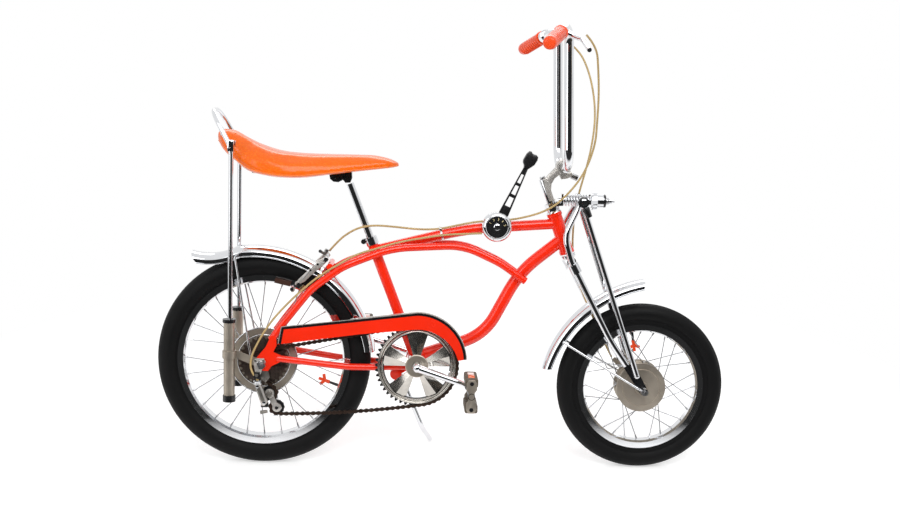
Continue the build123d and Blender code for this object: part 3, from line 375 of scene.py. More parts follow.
def bridged(part, rings, closed=False):
    """Joins rings of vertices into a skin, with a face at each open end."""
    loops = [list({edge for vert in ring for edge in vert.link_edges}) for ring in rings]
    for a, b in list(zip(loops, loops[1:])) + ([(loops[-1], loops[0])] if closed else []):
        bmesh.ops.bridge_loops(part, edges=a + b)
    if not closed:
        for loop in (loops[0], loops[-1]):
            bmesh.ops.contextual_create(part, geom=loop)
    bmesh.ops.recalc_face_normals(part, faces=part.faces)


def tube(shape, line, radius, sides=12, material=0, closed=False):
    """Adds a tube along a line of points: a circle set square to the line at each, and bridged."""
    part = bmesh.new()
    rings, up = [], None
    for i, point in enumerate(line):
        ahead = line[(i + 1) % len(line)] if closed or i + 1 < len(line) else point
        behind = line[i - 1] if closed or i else point
        along = (ahead - behind).normalized()
        up = along.orthogonal() if up is None else up
        up = (up - along * up.dot(along)).normalized()
        turn = Matrix.Translation(point) @ Matrix((up, along.cross(up), along)).transposed().to_4x4()
        rings.append(bmesh.ops.create_circle(part, segments=sides, radius=radius, matrix=turn)["verts"])
    bridged(part, rings, closed)
    stamp(shape, part, None, material)


# CAD pieces that only need a finish
NODE_FINISH = {
    "Enamel": "frame chain_guard",
    "Chrome": "head_cups bb_cups rear_rim front_rim rear_hub crank chainring rear_fender_stays front_fender_stays "
              "fork_crown fork_legs fork_struts fork_pins headset spring_barrel handlebar brake_levers seat_post "
              "seat_clamp side_stand shifter_base",
    "Satin alloy": "front_hub brake_plate shocks shock_brackets spoke_guard",
    "Zinc steel": "rear_axle front_axle",
    "Spoke steel": "rear_spokes front_spokes",
    "Sprocket steel": "rear_sprockets",
    "Black enamel": "fork_links shock_caps",
    "Black plastic": "rear_valve front_valve",
    "Pad rubber": "brake_pads",
}


class CHOPPER_OT_finishes(bpy.types.Operator):
    """Gives each CAD piece its paint, plating or rubber"""
    bl_idname = "chopper.finishes"
    bl_label = "Finish the CAD pieces"

    def execute(self, context):
        colours = context.scene.chopper_colours
        shared_groups()
        surface("Enamel", colours.enamel, 0.0, 0.20, 0.30, 9, 0.90, 700, 0.00003, 0.25, 0.7)
        surface("Grip plastic", colours.grip, 0.0, 0.28, 0.40, 30, 0.88, 900, 0.00004, 0.3, 0.25, 0.12)
        surface("Cable housing", colours.cable, 0.0, 0.30, 0.44, 60, 0.82, 1500, 0.00004, 0.3)
        for finish_name, names in NODE_FINISH.items():
            for name in names.split():
                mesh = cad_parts[name].data
                mesh.materials.clear()
                mesh.materials.append(finish(finish_name))
        return {"FINISHED"}


# Cables: the CAD's routes, with points shifted a little to lie on the photograph's lines
UPPER_CABLE = [(722, -182, 1036), (748, -168, 1012), (758, -140, 962), (767, -105, 900), (770, -75, 840),
               (770, -62, 788), (748, -60, 722), (712, -50, 670), (668, -34, 629)]
LOWER_CABLE = [(600, -14, 606), (552, -9, 600.7), (505, -9, 598), (457, -8, 588),
               (414, -8, 577.5), (366, -10, 575.5), (311, -13, 581), (263, -15, 584.5), (228, -15, 580),
               (201, -11, 567), (174, -6, 546), (152, -2, 519)]
FRONT_CABLE = [(722, 182, 1036), (755, 168, 1012), (777, 140, 962), (789, 112, 900), (791, 92, 840), (783, 78, 780),
               (770, 66, 725), (757, 60, 680), (746, 59, 632), (741, 52, 580), (740, 42, 525), (750, 37, 465),
               (776, 37, 405), (806, 37, 342), (832, 36, 290), (846, 34.5, 264)]
GEAR_CABLE = [(514, -23, 571), (476, -22, 569), (425, -23, 566), (372, -24, 557), (318, -26, 547), (266, -31, 531),
              (218, -38, 517.5), (174, -46, 492.5), (130, -51, 465), (92, -57, 433), (56, -62, 398), (22, -70, 360),
              (-6, -76, 316), (-26, -77, 272), (-25, -76, 236), (-6, -70, 214)]


class CHOPPER_OT_cables(bpy.types.Operator):
    """Draws the brake and gear cables as smooth housings along their routes"""
    bl_idname = "chopper.cables"
    bl_label = "Cables"

    def execute(self, context):
        radius = context.scene.chopper_sizes.cable_radius / 1000
        for name, route, body, replaced, smooth in (
                ("rear_brake_cable", UPPER_CABLE + LOWER_CABLE, None, ("brake_cable_upper", "brake_cable_lower"), 0),
                ("front_brake_cable", FRONT_CABLE, "steering", ("brake_cable_front",), 60),
                ("gear_cable_housing", GEAR_CABLE, "chassis", ("gear_cable",), 60)):
            shape = bmesh.new()
            tube(shape, smooth_line(name, [PLACED @ Vector(point) for point in route]), radius)
            piece = keep(name, shape, body, "Cable housing", replaced, smooth)
            if not body:
                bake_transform(piece)
        return {"FINISHED"}


# Tyres
class CHOPPER_OT_tyres(bpy.types.Operator):
    """Turns the smooth rear tyre and the ribbed front tyre"""
    bl_idname = "chopper.tyres"
    bl_label = "Tyres"

    def execute(self, context):
        depth = context.scene.chopper_sizes.tread_depth
        for end, kind, centre, radius, section, foot, ribs in (
                ("rear", "_slick", REAR_AXLE, REAR_R, 27.0, 17.0, 0),
                ("front", "_ribbed", FRONT_AXLE, FRONT_R, 22.5, 14.0, 7)):
            half = tyre_profile(radius, section, foot, ribs, depth)
            outline = half + [(r, -y) for r, y in reversed(half) if abs(y) > 1e-6]
            shape = bmesh.new()
            spun(shape, outline, centre, steps=128)
            add_piece(end + kind, shape, end + "_wheel", "Tyre rubber", (end + "_tyre",), smooth=50)
        return {"FINISHED"}


def tyre_profile(radius, section, foot, ribs, depth):
    """Half a tyre's outline as (radius, y), from the bead in the rim up to the middle of the tread."""
    middle, lip = radius - section, radius - RIM_EDGE
    start = -math.acos(foot / section)
    edge = min(lip + 0.3, middle + section * math.sin(start) - 0.5)
    half = [(lip - 14.5, 0.0), (lip - 14.5, foot - 0.2), (edge, foot)]
    raised = {3: 0.5, 4: 0.5, 9: 0.35, 10: 0.35}        # rings on the side wall, by step
    steps = 26
    for i in range(1, steps):
        a = start + (math.pi / 2 - start) * i / steps
        r = section + raised.get(i, 0.0) * 0.6
        y = r * math.cos(a)
        groove = ribs and y < section * 0.72 and int(abs(y) / section * ribs * 1.4 + 0.5) % 2
        shrink = depth if groove else 0.0
        half.append((min(middle + (r - shrink) * math.sin(a), radius), y))
    half.append((radius - 0.02, 0.0))
    return half


# Fork spring
class CHOPPER_OT_spring(bpy.types.Operator):
    """Winds the coil spring of the fork"""
    bl_idname = "chopper.spring"
    bl_label = "Fork spring"

    def execute(self, context):
        sizes = context.scene.chopper_sizes
        x0, x1, wire, turns = 709.0, 773.5, sizes.spring_wire, sizes.spring_turns
        coil, steps = 15.0 - wire, 28 * turns
        shape = bmesh.new()
        top = Matrix.Translation((x0 + wire, 0, SPRING_Z + coil)) @ Matrix.Rotation(math.pi / 2, 4, "X")
        ring = bmesh.ops.create_circle(shape, segments=10, radius=wire, matrix=top)["verts"]
        edges = list({edge for vert in ring for edge in vert.link_edges})
        rise = ((x1 - x0 - 2 * wire) / steps, 0, 0)
        bmesh.ops.spin(shape, geom=ring + edges, cent=(x0, 0, SPRING_Z), axis=(1, 0, 0), dvec=rise,
                       angle=FULL_TURN * turns, steps=steps, use_duplicate=False)
        bmesh.ops.holes_fill(shape, edges=[edge for edge in shape.edges if edge.is_boundary], sides=12)
        bmesh.ops.recalc_face_normals(shape, faces=shape.faces)
        for end, radius in ((x1, 5.5), (x0 + 0.8, 13)):
            rod(shape, (x0 - 1, 0, SPRING_Z), (end, 0, SPRING_Z), radius)
        add_piece("coil_spring", shape, "steering", "Chrome", ("fork_spring",))
        return {"FINISHED"}


# Chain
CHAIN_SAG = 6.0             # slack of the lower run at its middle


def pitch_radius(teeth):
    return PITCH / (2 * math.sin(math.pi / teeth))


def belt_line(c0, r0, s0, c1, r1, s1):
    """Where a belt leaves one circle and meets the next."""
    dx, dz = c1[0] - c0[0], c1[1] - c0[1]
    a = math.atan2(dz, dx) - math.asin((s1 * r1 - s0 * r0) / math.hypot(dx, dz))
    nx, nz = math.sin(a), -math.cos(a)
    return (c0[0] + s0 * r0 * nx, c0[1] + s0 * r0 * nz), (c1[0] + s1 * r1 * nx, c1[1] + s1 * r1 * nz)


def chain_points():
    """Pin centres one pitch apart, round the whole loop."""
    circles = ((365.3, 254.0), 48, 1), ((0.0, REAR_R), 14, 1), (PULLEYS[0], 8, -1), (PULLEYS[1], 8, 1)
    stations = [(centre, pitch_radius(teeth), sense) for centre, teeth, sense in circles]
    runs = [belt_line(*stations[i], *stations[(i + 1) % len(stations)]) for i in range(len(stations))]
    path = []
    for i, (centre, radius, sense) in enumerate(stations):
        arrive, leave = runs[i - 1][1], runs[i][0]
        a0 = math.atan2(arrive[1] - centre[1], arrive[0] - centre[0])
        a1 = math.atan2(leave[1] - centre[1], leave[0] - centre[0])
        turn = (a1 - a0) * sense % FULL_TURN
        for step in range(41):
            a = a0 + sense * turn * step / 40
            path.append((centre[0] + radius * math.cos(a), centre[1] + radius * math.sin(a)))
    last, first = path[-1], path[0]
    for step in range(1, 24):
        t = step / 24
        x, z = (last[k] + (first[k] - last[k]) * t for k in (0, 1))
        path.append((x, z - 4 * CHAIN_SAG * t * (1 - t)))
    path.append(path[0])
    lengths = [math.dist(a, b) for a, b in zip(path, path[1:])]
    count = round(sum(lengths) / PITCH / 2) * 2
    step, points, walked, at = sum(lengths) / count, [], 0.0, 0
    for i in range(count):
        while walked + lengths[at] < i * step:
            walked += lengths[at]
            at += 1
        t = (i * step - walked) / lengths[at] if lengths[at] else 0
        a, b = path[at], path[at + 1]
        points.append((a[0] + (b[0] - a[0]) * t, a[1] + (b[1] - a[1]) * t))
    return points


def chain_link(inner):
    """One link: a pair of waisted plates, with its rollers and pins."""
    outline = []
    for end, middle in ((1, PITCH), (-1, 0.0)):
        for step in range(-3, 4):
            a = (0 if end > 0 else math.pi) + step * math.radians(38)
            outline.append((middle + 4.5 * math.cos(a), 4.5 * math.sin(a)))
        outline.append((PITCH / 2, 2.3 * end))
    part = bmesh.new()
    for side in (-1, 1):
        near = side * (1.9 if inner else 2.8)
        slab(part, outline, near, near + side * 0.8)
    if inner:
        for x in (0, PITCH):
            rod(part, (x, -1.9, 0), (x, 1.9, 0), 3.6, sides=10)
            rod(part, (x, -4.2, 0), (x, 4.2, 0), 1.6, sides=8)
    return to_mesh("link", part)


class CHOPPER_OT_chain(bpy.types.Operator):
    """Lays the chain link by link round its sprockets"""
    bl_idname = "chopper.chain"
    bl_label = "Chain"

    def execute(self, context):
        shape = bmesh.new()
        points = chain_points()
        links = chain_link(False), chain_link(True)
        for i, start in enumerate(points):
            end = points[(i + 1) % len(points)]
            angle = math.atan2(end[1] - start[1], end[0] - start[0])
            link = links[i % 2].copy()
            link.transform(Matrix.Translation((start[0], CHAIN_Y, start[1])) @ Matrix.Rotation(-angle, 4, "Y"))
            shape.from_mesh(link)
            bpy.data.meshes.remove(link)
        for link in links:
            bpy.data.meshes.remove(link)
        add_piece("chain_links", shape, "chassis", "Dark chain", ("chain",))
        return {"FINISHED"}


# Stage, light and camera
class CHOPPER_OT_stage(bpy.types.Operator):
    """Sets the pale floor, the soft studio light and the camera"""
    bl_idname = "chopper.stage"
    bl_label = "Studio"

    def execute(self, context):
        scene = context.scene
        scene.view_settings.view_transform = "Standard"
        build_floor()
        build_world(scene)
        for name, place, size, power in (
                ("key", (0.6, -2.6, 3.2), (3.0, 2.0), 75), ("fill", (-2.4, -2.4, 1.6), (1.6, 2.4), 26),
                ("back", (0.2, 2.4, 2.4), (3.0, 1.2), 30)):
            lamp = bpy.data.lights.new(name, "AREA")
            lamp.shape = "RECTANGLE"
            lamp.size, lamp.size_y = size
            lamp.energy = power
            holder = set_out(name, lamp)
            holder.location = place
            holder.rotation_euler = (Vector((0, 0, 0.45)) - Vector(place)).to_track_quat("-Z", "Y").to_euler()
        build_camera(scene)
        return {"FINISHED"}


def build_camera(scene):
    """The photograph's own view, fitted to the bicycle standing upright and leaned with it."""
    yaw, pitch, roll, focal, photo_width = 0.0408, 0.1362, -0.0251, 1267.7185, 900.0
    eye = Vector((317.2116, -3007.378, 931.784))
    upright = Matrix(((1, 0, 0), (0, 0, -1), (0, 1, 0)))
    turn = Matrix.Rotation(-roll, 3, "Z") @ Matrix.Rotation(pitch, 3, "X") @ Matrix.Rotation(-yaw, 3, "Y") @ upright
    right, down, ahead = (Vector(row) for row in turn)
    camera = bpy.data.cameras.new("photo_view")
    camera.sensor_width = 36.0
    camera.lens = camera.sensor_width * focal / photo_width
    camera.clip_end = 50.0
    holder = set_out("photo_view", camera)
    axes = Matrix((right, -down, -ahead)).transposed().to_4x4()
    holder.matrix_world = Matrix.Translation(PLACED @ eye) @ (TURNED @ axes)
    scene.camera = holder


def tinted(tree, kind, grey, strength=None):
    """A grey diffuse, emission or background shader."""
    values = {"Color": (grey, grey, grey, 1)}
    return node(tree, kind, values if strength is None else {**values, "Strength": strength})


def build_floor():
    """A white floor that keeps the bicycle's shadow, and looks white in the chrome too."""
    shape = bmesh.new()
    bmesh.ops.create_grid(shape, x_segments=2, y_segments=2, size=6.0)
    floor = set_out("floor", to_mesh("floor", shape))
    material = bpy.data.materials.new("Pale floor")
    material.use_nodes = True
    tree = material.node_tree
    tree.nodes.clear()
    rays = node(tree, "ShaderNodeLightPath").outputs
    place = node(tree, "ShaderNodeTexCoord").outputs["Object"]
    away = node(tree, "ShaderNodeVectorMath", {0: place}, operation="LENGTH").outputs["Value"]
    toward = node(tree, "ShaderNodeSeparateXYZ", {"Vector": place}).outputs["Y"]
    far, dim = span(tree, away, 0.75, 1.5), span(tree, toward, -0.55, -1.0)
    matt, half = (tinted(tree, "ShaderNodeBsdfDiffuse", grey) for grey in (0.80, 0.74))
    glow, white, dark = (tinted(tree, "ShaderNodeEmission", 1, strength) for strength in (0.47, 1.0, 0.03))
    shown = node(tree, "ShaderNodeAddShader", {0: half.outputs[0], 1: glow.outputs[0]})
    seen, mirrored = mix_shaders(tree, far, shown, white), mix_shaders(tree, dim, shown, dark)
    glossy = mix_shaders(tree, rays["Is Glossy Ray"], matt, mirrored)
    mixed = mix_shaders(tree, rays["Is Camera Ray"], glossy, seen)
    node(tree, "ShaderNodeOutputMaterial", {"Surface": mixed.outputs[0]})
    floor.data.materials.append(material)


def build_world(scene):
    """White all round, with the dark studio behind the camera that polished metal mirrors."""
    world = bpy.data.worlds.new("Studio")
    scene.world = world
    world.use_nodes = True
    tree = world.node_tree
    tree.nodes.clear()
    rays = node(tree, "ShaderNodeLightPath").outputs
    way = node(tree, "ShaderNodeSeparateXYZ", {"Vector": node(tree, "ShaderNodeTexCoord").outputs["Generated"]})
    front, above = span(tree, way.outputs["Y"], -0.85, -0.1), span(tree, way.outputs["Z"], 0.42, 0.56)
    open_sky = node(tree, "ShaderNodeMath", {0: front, 1: above}, operation="MAXIMUM").outputs[0]
    ramp = node(tree, "ShaderNodeValToRGB", {"Fac": open_sky})
    steps = ((0.0, 0.02), (0.35, 0.03), (0.42, 0.35), (0.62, 0.62), (0.8, 0.93), (1.0, 0.95))
    for place, grey in steps[1:-1]:
        ramp.color_ramp.elements.new(place)
    for element, (place, grey) in zip(ramp.color_ramp.elements, steps):
        element.color = (grey, grey, grey, 1)
    soft, seen = (tinted(tree, "ShaderNodeBackground", 1, strength) for strength in (0.55, 1.0))
    mirrored = node(tree, "ShaderNodeBackground", {"Color": ramp.outputs["Color"], "Strength": 1.0})
    glossy = mix_shaders(tree, rays["Is Glossy Ray"], soft, mirrored)
    mixed = mix_shaders(tree, rays["Is Camera Ray"], glossy, seen)
    node(tree, "ShaderNodeOutputWorld", {"Surface": mixed.outputs[0]})


# Seat: x, underside, top and half width of each section
SEAT_SECTIONS = [
    (-113, 778, 799, 28), (-103, 761, 803, 40), (-86, 742, 803, 50), (-66, 727, 792, 58), (-44, 709, 779, 68),
    (-18, 700, 766, 84), (31, 693, 750, 93), (87, 693, 744, 90), (155, 702, 743, 76), (223, 711, 743, 58),
    (287, 719, 742, 42), (317, 723, 732, 26),
]
SEAT_SEAM = 0.07            # height of the welt, just above the underside


def seat_section(x):
    """Underside, top and half width at x, on smooth lines through the table."""
    rows = SEAT_SECTIONS
    i = max(j for j in range(len(rows) - 1) if rows[j][0] <= x)
    a, b = rows[i], rows[i + 1]
    before, after = rows[max(i - 1, 0)], rows[min(i + 2, len(rows) - 1)]
    t = (x - a[0]) / (b[0] - a[0])
    h = ((2 * t - 3) * t * t + 1, ((t - 2) * t + 1) * t, (3 - 2 * t) * t * t, (t - 1) * t * t)
    found = []
    for k in (1, 2, 3):
        m0 = (b[k] - before[k]) / (b[0] - before[0]) * (b[0] - a[0])
        m1 = (after[k] - a[k]) / (after[0] - a[0]) * (b[0] - a[0])
        found.append(h[0] * a[k] + h[1] * m0 + h[2] * b[k] + h[3] * m1)
    return found


class CHOPPER_OT_saddle(bpy.types.Operator):
    """Pads the long seat and sews the welt round it"""
    bl_idname = "chopper.saddle"
    bl_label = "Seat"

    def execute(self, context):
        sizes = context.scene.chopper_sizes
        pad = seat_shell()
        stuff(context, pad, sizes.stuffing, 0.007)
        pad.data.materials.append(seat_vinyl(context.scene.chopper_colours.vinyl))
        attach(pad, "chassis")
        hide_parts("saddle")
        skin = BVHTree.FromObject(pad, context.evaluated_depsgraph_get())
        xs = [-94 + i * 12 for i in range(34)]
        nose, tail = ([seam_point(skin, limit, y * half) for y in (-0.8, -0.35, 0.35, 0.8)]
                      for limit, half in ((316, 26), (-111, 28)))
        right, left = ([seam_point(skin, x, side * seat_section(x)[2] * 0.985) for x in xs] for side in (-1, 1))
        points = right + nose + left[::-1] + tail[::-1]
        shape = bmesh.new()
        line = smooth_line("welt", points, order=4, cyclic=True, fineness=8)
        tube(shape, line, sizes.piping_radius / 1000, sides=10, closed=True)
        keep("seat_welt", shape, "chassis", "Welt vinyl", smooth=60)
        shape = bmesh.new()
        slab(shape, [(150, 704), (152, 692), (160, 685.5), (172, 684.5), (182, 690), (188, 706)], -17, 17, 1.5)
        rod(shape, (170, -20, 693), (170, 20, 693), 6.0, sides=24, bevel=0.8)
        slab(shape, [(-30, 703), (10, 697), (87, 698), (150, 705), (150, 708), (87, 702), (10, 701), (-30, 707)],
             -22, 22)
        slab(shape, [(178, 708), (179, 694), (188, 683), (200, 684), (204, 694), (203, 710)], -13, 13, 2.0)
        add_piece("seat_bracket", shape, "chassis", "Black enamel", ("saddle_pan",))
        found, normal, _, _ = skin.find_nearest(PLACED @ Vector((-107, -33, 797)))
        shape = bmesh.new()
        rod(shape, found - normal * 0.002, found + normal * 0.0009, 0.0042, sides=20, bevel=0.0004)
        keep("seat_rivet", shape, "chassis", "Zinc steel")
        return {"FINISHED"}


def seam_point(skin, x, y):
    """The point of the seat's skin nearest to its seam at x and y, lifted clear of it."""
    low, high, _ = seat_section(x)
    found, normal, _, _ = skin.find_nearest(PLACED @ Vector((x, y, low + (high - low) * SEAT_SEAM)))
    return found + normal * 0.0002


def seat_shell():
    """The seat's outer form, a little slim so that stuffing can fill it."""
    shape = bmesh.new()
    rings = []
    for x in [-112, -109, -103] + [-94 + 10 * i for i in range(40)] + [306, 312, 316]:
        low, high, half = seat_section(x)
        blunt = min((x + 113) / 26, (317 - x) / 24, 1.0)
        half *= math.sqrt(max(1 - (1 - blunt) ** 2, 0.16)) * 0.97
        ring = bmesh.ops.create_circle(shape, segments=40, radius=1.0)["verts"]
        for vert in ring:
            across, up = vert.co.x, vert.co.y
            y = math.copysign(abs(across) ** 0.72, across) * half
            rise = abs(up) ** (0.78 if up > 0 else 0.5)
            vert.co = (x, y, (low + high) / 2 + math.copysign(rise, up) * (high - low) / 2 * 0.96)
        rings.append(ring)
    bridged(shape, rings)
    bmesh.ops.transform(shape, matrix=PLACED, verts=shape.verts)
    return set_out("seat_pad", to_mesh("seat_pad", shape))


def stuff(context, pad, pressure, cap):
    """Remeshes a pad, blows it up against its seam and pan with cloth, and smooths it."""
    remesh = pad.modifiers.new("Remesh", "REMESH")
    remesh.mode = "VOXEL"
    remesh.voxel_size = 0.005
    bake(context, pad)
    back = PLACED.inverted()
    held = pad.vertex_groups.new(name="held")
    start = [vert.co.copy() for vert in pad.data.vertices]
    for vert in pad.data.vertices:
        at = back @ vert.co
        low, high, _ = seat_section(min(max(at.x, -112.5), 316.5))
        tall = (at.z - low) / max(high - low, 1)
        weight = max(0.0, min(1.0, (0.30 - tall) * 7))
        if weight:
            held.add([vert.index], weight, "REPLACE")
    cloth = pad.modifiers.new("Cloth", "CLOTH")
    cloth.settings.vertex_group_mass = "held"
    cloth.settings.use_pressure = True
    cloth.settings.uniform_pressure_force = pressure
    cloth.settings.effector_weights.gravity = 0.0
    cloth.point_cache.frame_start, cloth.point_cache.frame_end = 1, 20
    for step in range(1, 21):
        context.scene.frame_set(step)
    bake(context, pad)
    context.scene.frame_set(1)
    for vert, was in zip(pad.data.vertices, start):
        move = vert.co - was
        if move.length > cap:
            vert.co = was + move.normalized() * cap
    smooth = pad.modifiers.new("Smooth", "SMOOTH")
    smooth.factor, smooth.iterations = 0.5, 16
    bake(context, pad)
    round_skin = pad.modifiers.new("Subdivision", "SUBSURF")
    round_skin.levels = round_skin.render_levels = 1
    pad.data.polygons.foreach_set("use_smooth", [True] * len(pad.data.polygons))


def bake(context, piece):
    """Applies every modifier of a piece to its mesh."""
    graph = context.evaluated_depsgraph_get()
    mesh = bpy.data.meshes.new_from_object(piece.evaluated_get(graph), preserve_all_data_layers=True, depsgraph=graph)
    piece.modifiers.clear()
    piece.data = mesh


def seat_vinyl(base):
    """Clear vinyl over metal flake: fine cells that each tilt and tint the surface a little."""
    material = surface("Flake vinyl", base, 0.0, 0.20, 0.34, 12, 0.86, 1100, 0.00004, 0.2, 0.3, 0.07)
    tree = material.node_tree
    shader = tree.nodes["Principled BSDF"]
    flakes = use_group(tree, "Pebbled skin", {"Size": 620.0, "Depth": 0.00012, "Strength": 0.3})
    bright = node(tree, "ShaderNodeSeparateColor", {"Color": flakes.outputs["Cell"]}).outputs["Red"]
    tone = shader.inputs["Base Color"].links[0].from_socket
    mixed = mix_colours(tree, span(tree, bright, 0.6, 1.0, 0.0, 0.4), tone, (1.0, 0.30, 0.02, 1.0))
    tree.links.new(mixed, shader.inputs["Base Color"])
    tree.links.new(flakes.outputs["Normal"], shader.inputs["Normal"])
    return material


# Small coloured pieces
class CHOPPER_OT_valve_caps(bpy.types.Operator):
    """Puts a three lobed cap on each valve"""
    bl_idname = "chopper.valve_caps"
    bl_label = "Valve caps"

    def execute(self, context):
        for end, centre, radius, degrees in (
                ("rear", REAR_AXLE, REAR_R, -20.0), ("front", FRONT_AXLE, FRONT_R, 100.0)):
            shape = bmesh.new()
            top = radius - RIM_EDGE - RIM_DEPTH - 22
            rod(shape, (top, 0, 0), (top - 15, 0, 0), 4.6, 3.6, sides=14, bevel=0.5)
            for lobe in (-60, 0, 60):
                part = bmesh.new()
                block(part, (-9, 0, 0), (14, 3.4, 7.5), bevel=1.4)
                stamp(shape, part, Matrix.Translation((top - 12, 0, 0)) @ Matrix.Rotation(math.radians(lobe), 4, "Y"))
            place = Matrix.Translation(centre) @ Matrix.Rotation(-math.radians(degrees), 4, "Y")
            bmesh.ops.transform(shape, matrix=place, verts=shape.verts)
            add_piece(end + "_valve_cap", shape, end + "_wheel", "Grip plastic")
        return {"FINISHED"}


class CHOPPER_OT_grips(bpy.types.Operator):
    """Turns the ribbed grips with their flanges"""
    bl_idname = "chopper.grips"
    bl_label = "Grips"

    def execute(self, context):
        end, corner = Vector((628, 292, 1013)), Vector((693, 104, 1061))
        profile = [(0.0, -4.2), (9.0, -4.2), (13.2, -2.5), (14.6, 1.0), (15.2, 6.0)]
        for y in range(12, 111, 11):
            profile += [(15.3, y), (15.5, y + 3.0), (14.4, y + 5.5), (15.5, y + 8.0)]
        profile += [(15.0, 108.0), (16.8, 111.0), (17.0, 114.5), (16.0, 116.0), (11.3, 116.0), (11.3, 0.5),
                    (0.0, 0.5)]
        shape = bmesh.new()
        for side in (1, -1):
            along = (corner - end).normalized()
            along.y *= side
            part = bmesh.new()
            spun(part, profile, Vector(), steps=40)
            for vert in part.verts:         # scallops for the fingers
                if vert.co.z < 0 and math.hypot(vert.co.x, vert.co.z) > 13 and 8 < vert.co.y < 108:
                    vert.co.z *= 1 + 0.12 * math.cos(FULL_TURN * (vert.co.y - 14) / 11)
            spun(part, [(0.0, 0.35), (3.0, 0.35), (3.0, 0.6), (0.0, 0.6)], Vector(), steps=20)
            turn = along.to_track_quat("Y", "Z").to_matrix().to_4x4()
            stamp(shape, part, Matrix.Translation((end.x, end.y * side, end.z)) @ turn)
        add_piece("ribbed_grips", shape, "steering", "Grip plastic", ("grips",), smooth=50)
        return {"FINISHED"}


class CHOPPER_OT_pedals(bpy.types.Operator):
    """Builds the rubber block pedals with their reflectors"""
    bl_idname = "chopper.pedals"
    bl_label = "Pedals"

    def execute(self, context):
        finishes = "Pedal rubber", "Satin alloy", "Amber reflector", "Black plastic"
        y0, y1 = 90.3, 181.7
        middle = (y0 + y1) / 2
        quarter = [(39, 7), (31, 12), (16, 12), (9, 7)]
        upper = quarter + [(-x, z) for x, z in reversed(quarter)]
        plate = [(x, -z) for x, z in reversed(upper)] + upper
        for side, name, degrees in ((-1, "right", CRANK_TURN), (1, "left", CRANK_TURN + 180)):
            shape = bmesh.new()
            for end in (-1, 1):
                for row in range(5):
                    block(shape, (end * 30.5, y0 + 5.4 + row * 16.4 + 7.4, 0), (20.5, 14.2, 30.0), bevel=4.0)
                block(shape, (end * 30.5, middle, 0), (15, y1 - y0 - 8, 24), bevel=2.0)
                block(shape, (end * 40.4, middle, 0), (1.8, 50, 15), bevel=0.6, material=2)
                pin(shape, end * 30.5, 0, y1 - 1.5, y1 + 0.2, 5.2, 6, 3)
            for y in (y0 + 2.2, y1 - 2.2):
                slab(shape, plate, y - 1.7, y + 1.7, 0.6, 1)
            pin(shape, 0, 0, y0, y1, 8.0, 24, 3)
            pin(shape, 0, 0, y1 - 0.5, y1 + 0.3, 6.5, 20, 1)
            bmesh.ops.scale(shape, vec=(1, side, 1), verts=shape.verts)
            bmesh.ops.recalc_face_normals(shape, faces=shape.faces)
            tip = polar(BOTTOM_BRACKET, CRANK_LENGTH, math.radians(degrees))
            turn = Matrix.Translation(tip) @ Matrix.Rotation(math.pi / 2, 4, "Y")
            bmesh.ops.transform(shape, matrix=turn, verts=shape.verts)
            add_piece("block_pedal_" + name, shape, name + "_pedal", finishes, ("pedal_" + name,))
        return {"FINISHED"}


DIAL = Vector((548.6, 0, 587.8))
LEVER_FOOT, LEVER_NECK = Vector((563.1, 0, 619.0)), Vector((613.1, 0, 730.0))


class CHOPPER_OT_shifter(bpy.types.Operator):
    """Builds the gear lever with its dial"""
    bl_idname = "chopper.shifter"
    bl_label = "Gear lever"

    def execute(self, context):
        shape = bmesh.new()
        spun(shape, [(25.8, -31.0), (25.8, -36.4), (27.0, -37.4), (28.4, -37.2), (35.2, -32.2), (35.6, -31.0),
                     (35.6, -28.0), (28.5, -28.0), (28.5, -31.0)], DIAL, steps=72, material=1)
        spun(shape, [(0.0, -31.05), (25.8, -31.05), (25.8, -35.2), (0.0, -35.2)], DIAL, steps=72)
        spun(shape, [(0.0, -35.0), (11.0, -35.0), (11.0, -36.0), (8.0, -36.4), (7.6, -38.6), (5.5, -39.6),
                     (0.0, -39.8)], DIAL, steps=48, material=1)
        block(shape, DIAL + Vector((0, -39.8, 0)), (11, 0.5, 1.6), bevel=0.0)
        along, reach = (LEVER_NECK - LEVER_FOOT).normalized(), (LEVER_NECK - LEVER_FOOT).length
        across = Vector((along.z, 0, -along.x))

        def plate(points, y0, y1, bevel):
            """A plate from points given along the lever and across it."""
            slab(shape, flat([LEVER_FOOT + along * s + across * w for s, w in points]), y0, y1, bevel)

        def half_width(share):
            return 12.0 - 6.6 * share

        for side in (-1, 1):
            edge = [(reach * t, side * half_width(t)) for t in (0, 0.25, 0.5, 0.75, 1.0)]
            plate(edge + [(s, w - side * (4.6 - 1.6 * s / reach)) for s, w in reversed(edge)], -27.5, -33.0, 0.9)
        for low, high in ((-0.08, 0.17), (0.36, 0.425), (0.61, 0.67), (0.85, 1.03)):
            wide = half_width((low + high) / 2) - 1.0
            side = [(reach * low, wide), (reach * high, wide * 0.9)]
            plate([(s, -w) for s, w in side] + side[::-1], -28.0, -32.5, 0.6)
        knob = [(-2, -5.2), (3, -7.5), (8, -12.5), (14, -14.5), (30, -13.2), (38.5, -9.5), (39.5, -5.0), (36.5, -1.5),
                (36.0, 4.0), (37.0, 9.0), (34.5, 14.5), (27, 16.5), (14, 15.0), (6, 10.5), (-2, 5.2)]
        plate([(reach + s, w) for s, w in knob], -21.0, -40.0, 4.2)
        place_numbers(shape, DIAL, 18.6, 2)
        finishes = "Black plastic", "Chrome", "Dial cream"
        add_piece("gear_lever", shape, "chassis", finishes, ("shifter_lever",))
        return {"FINISHED"}


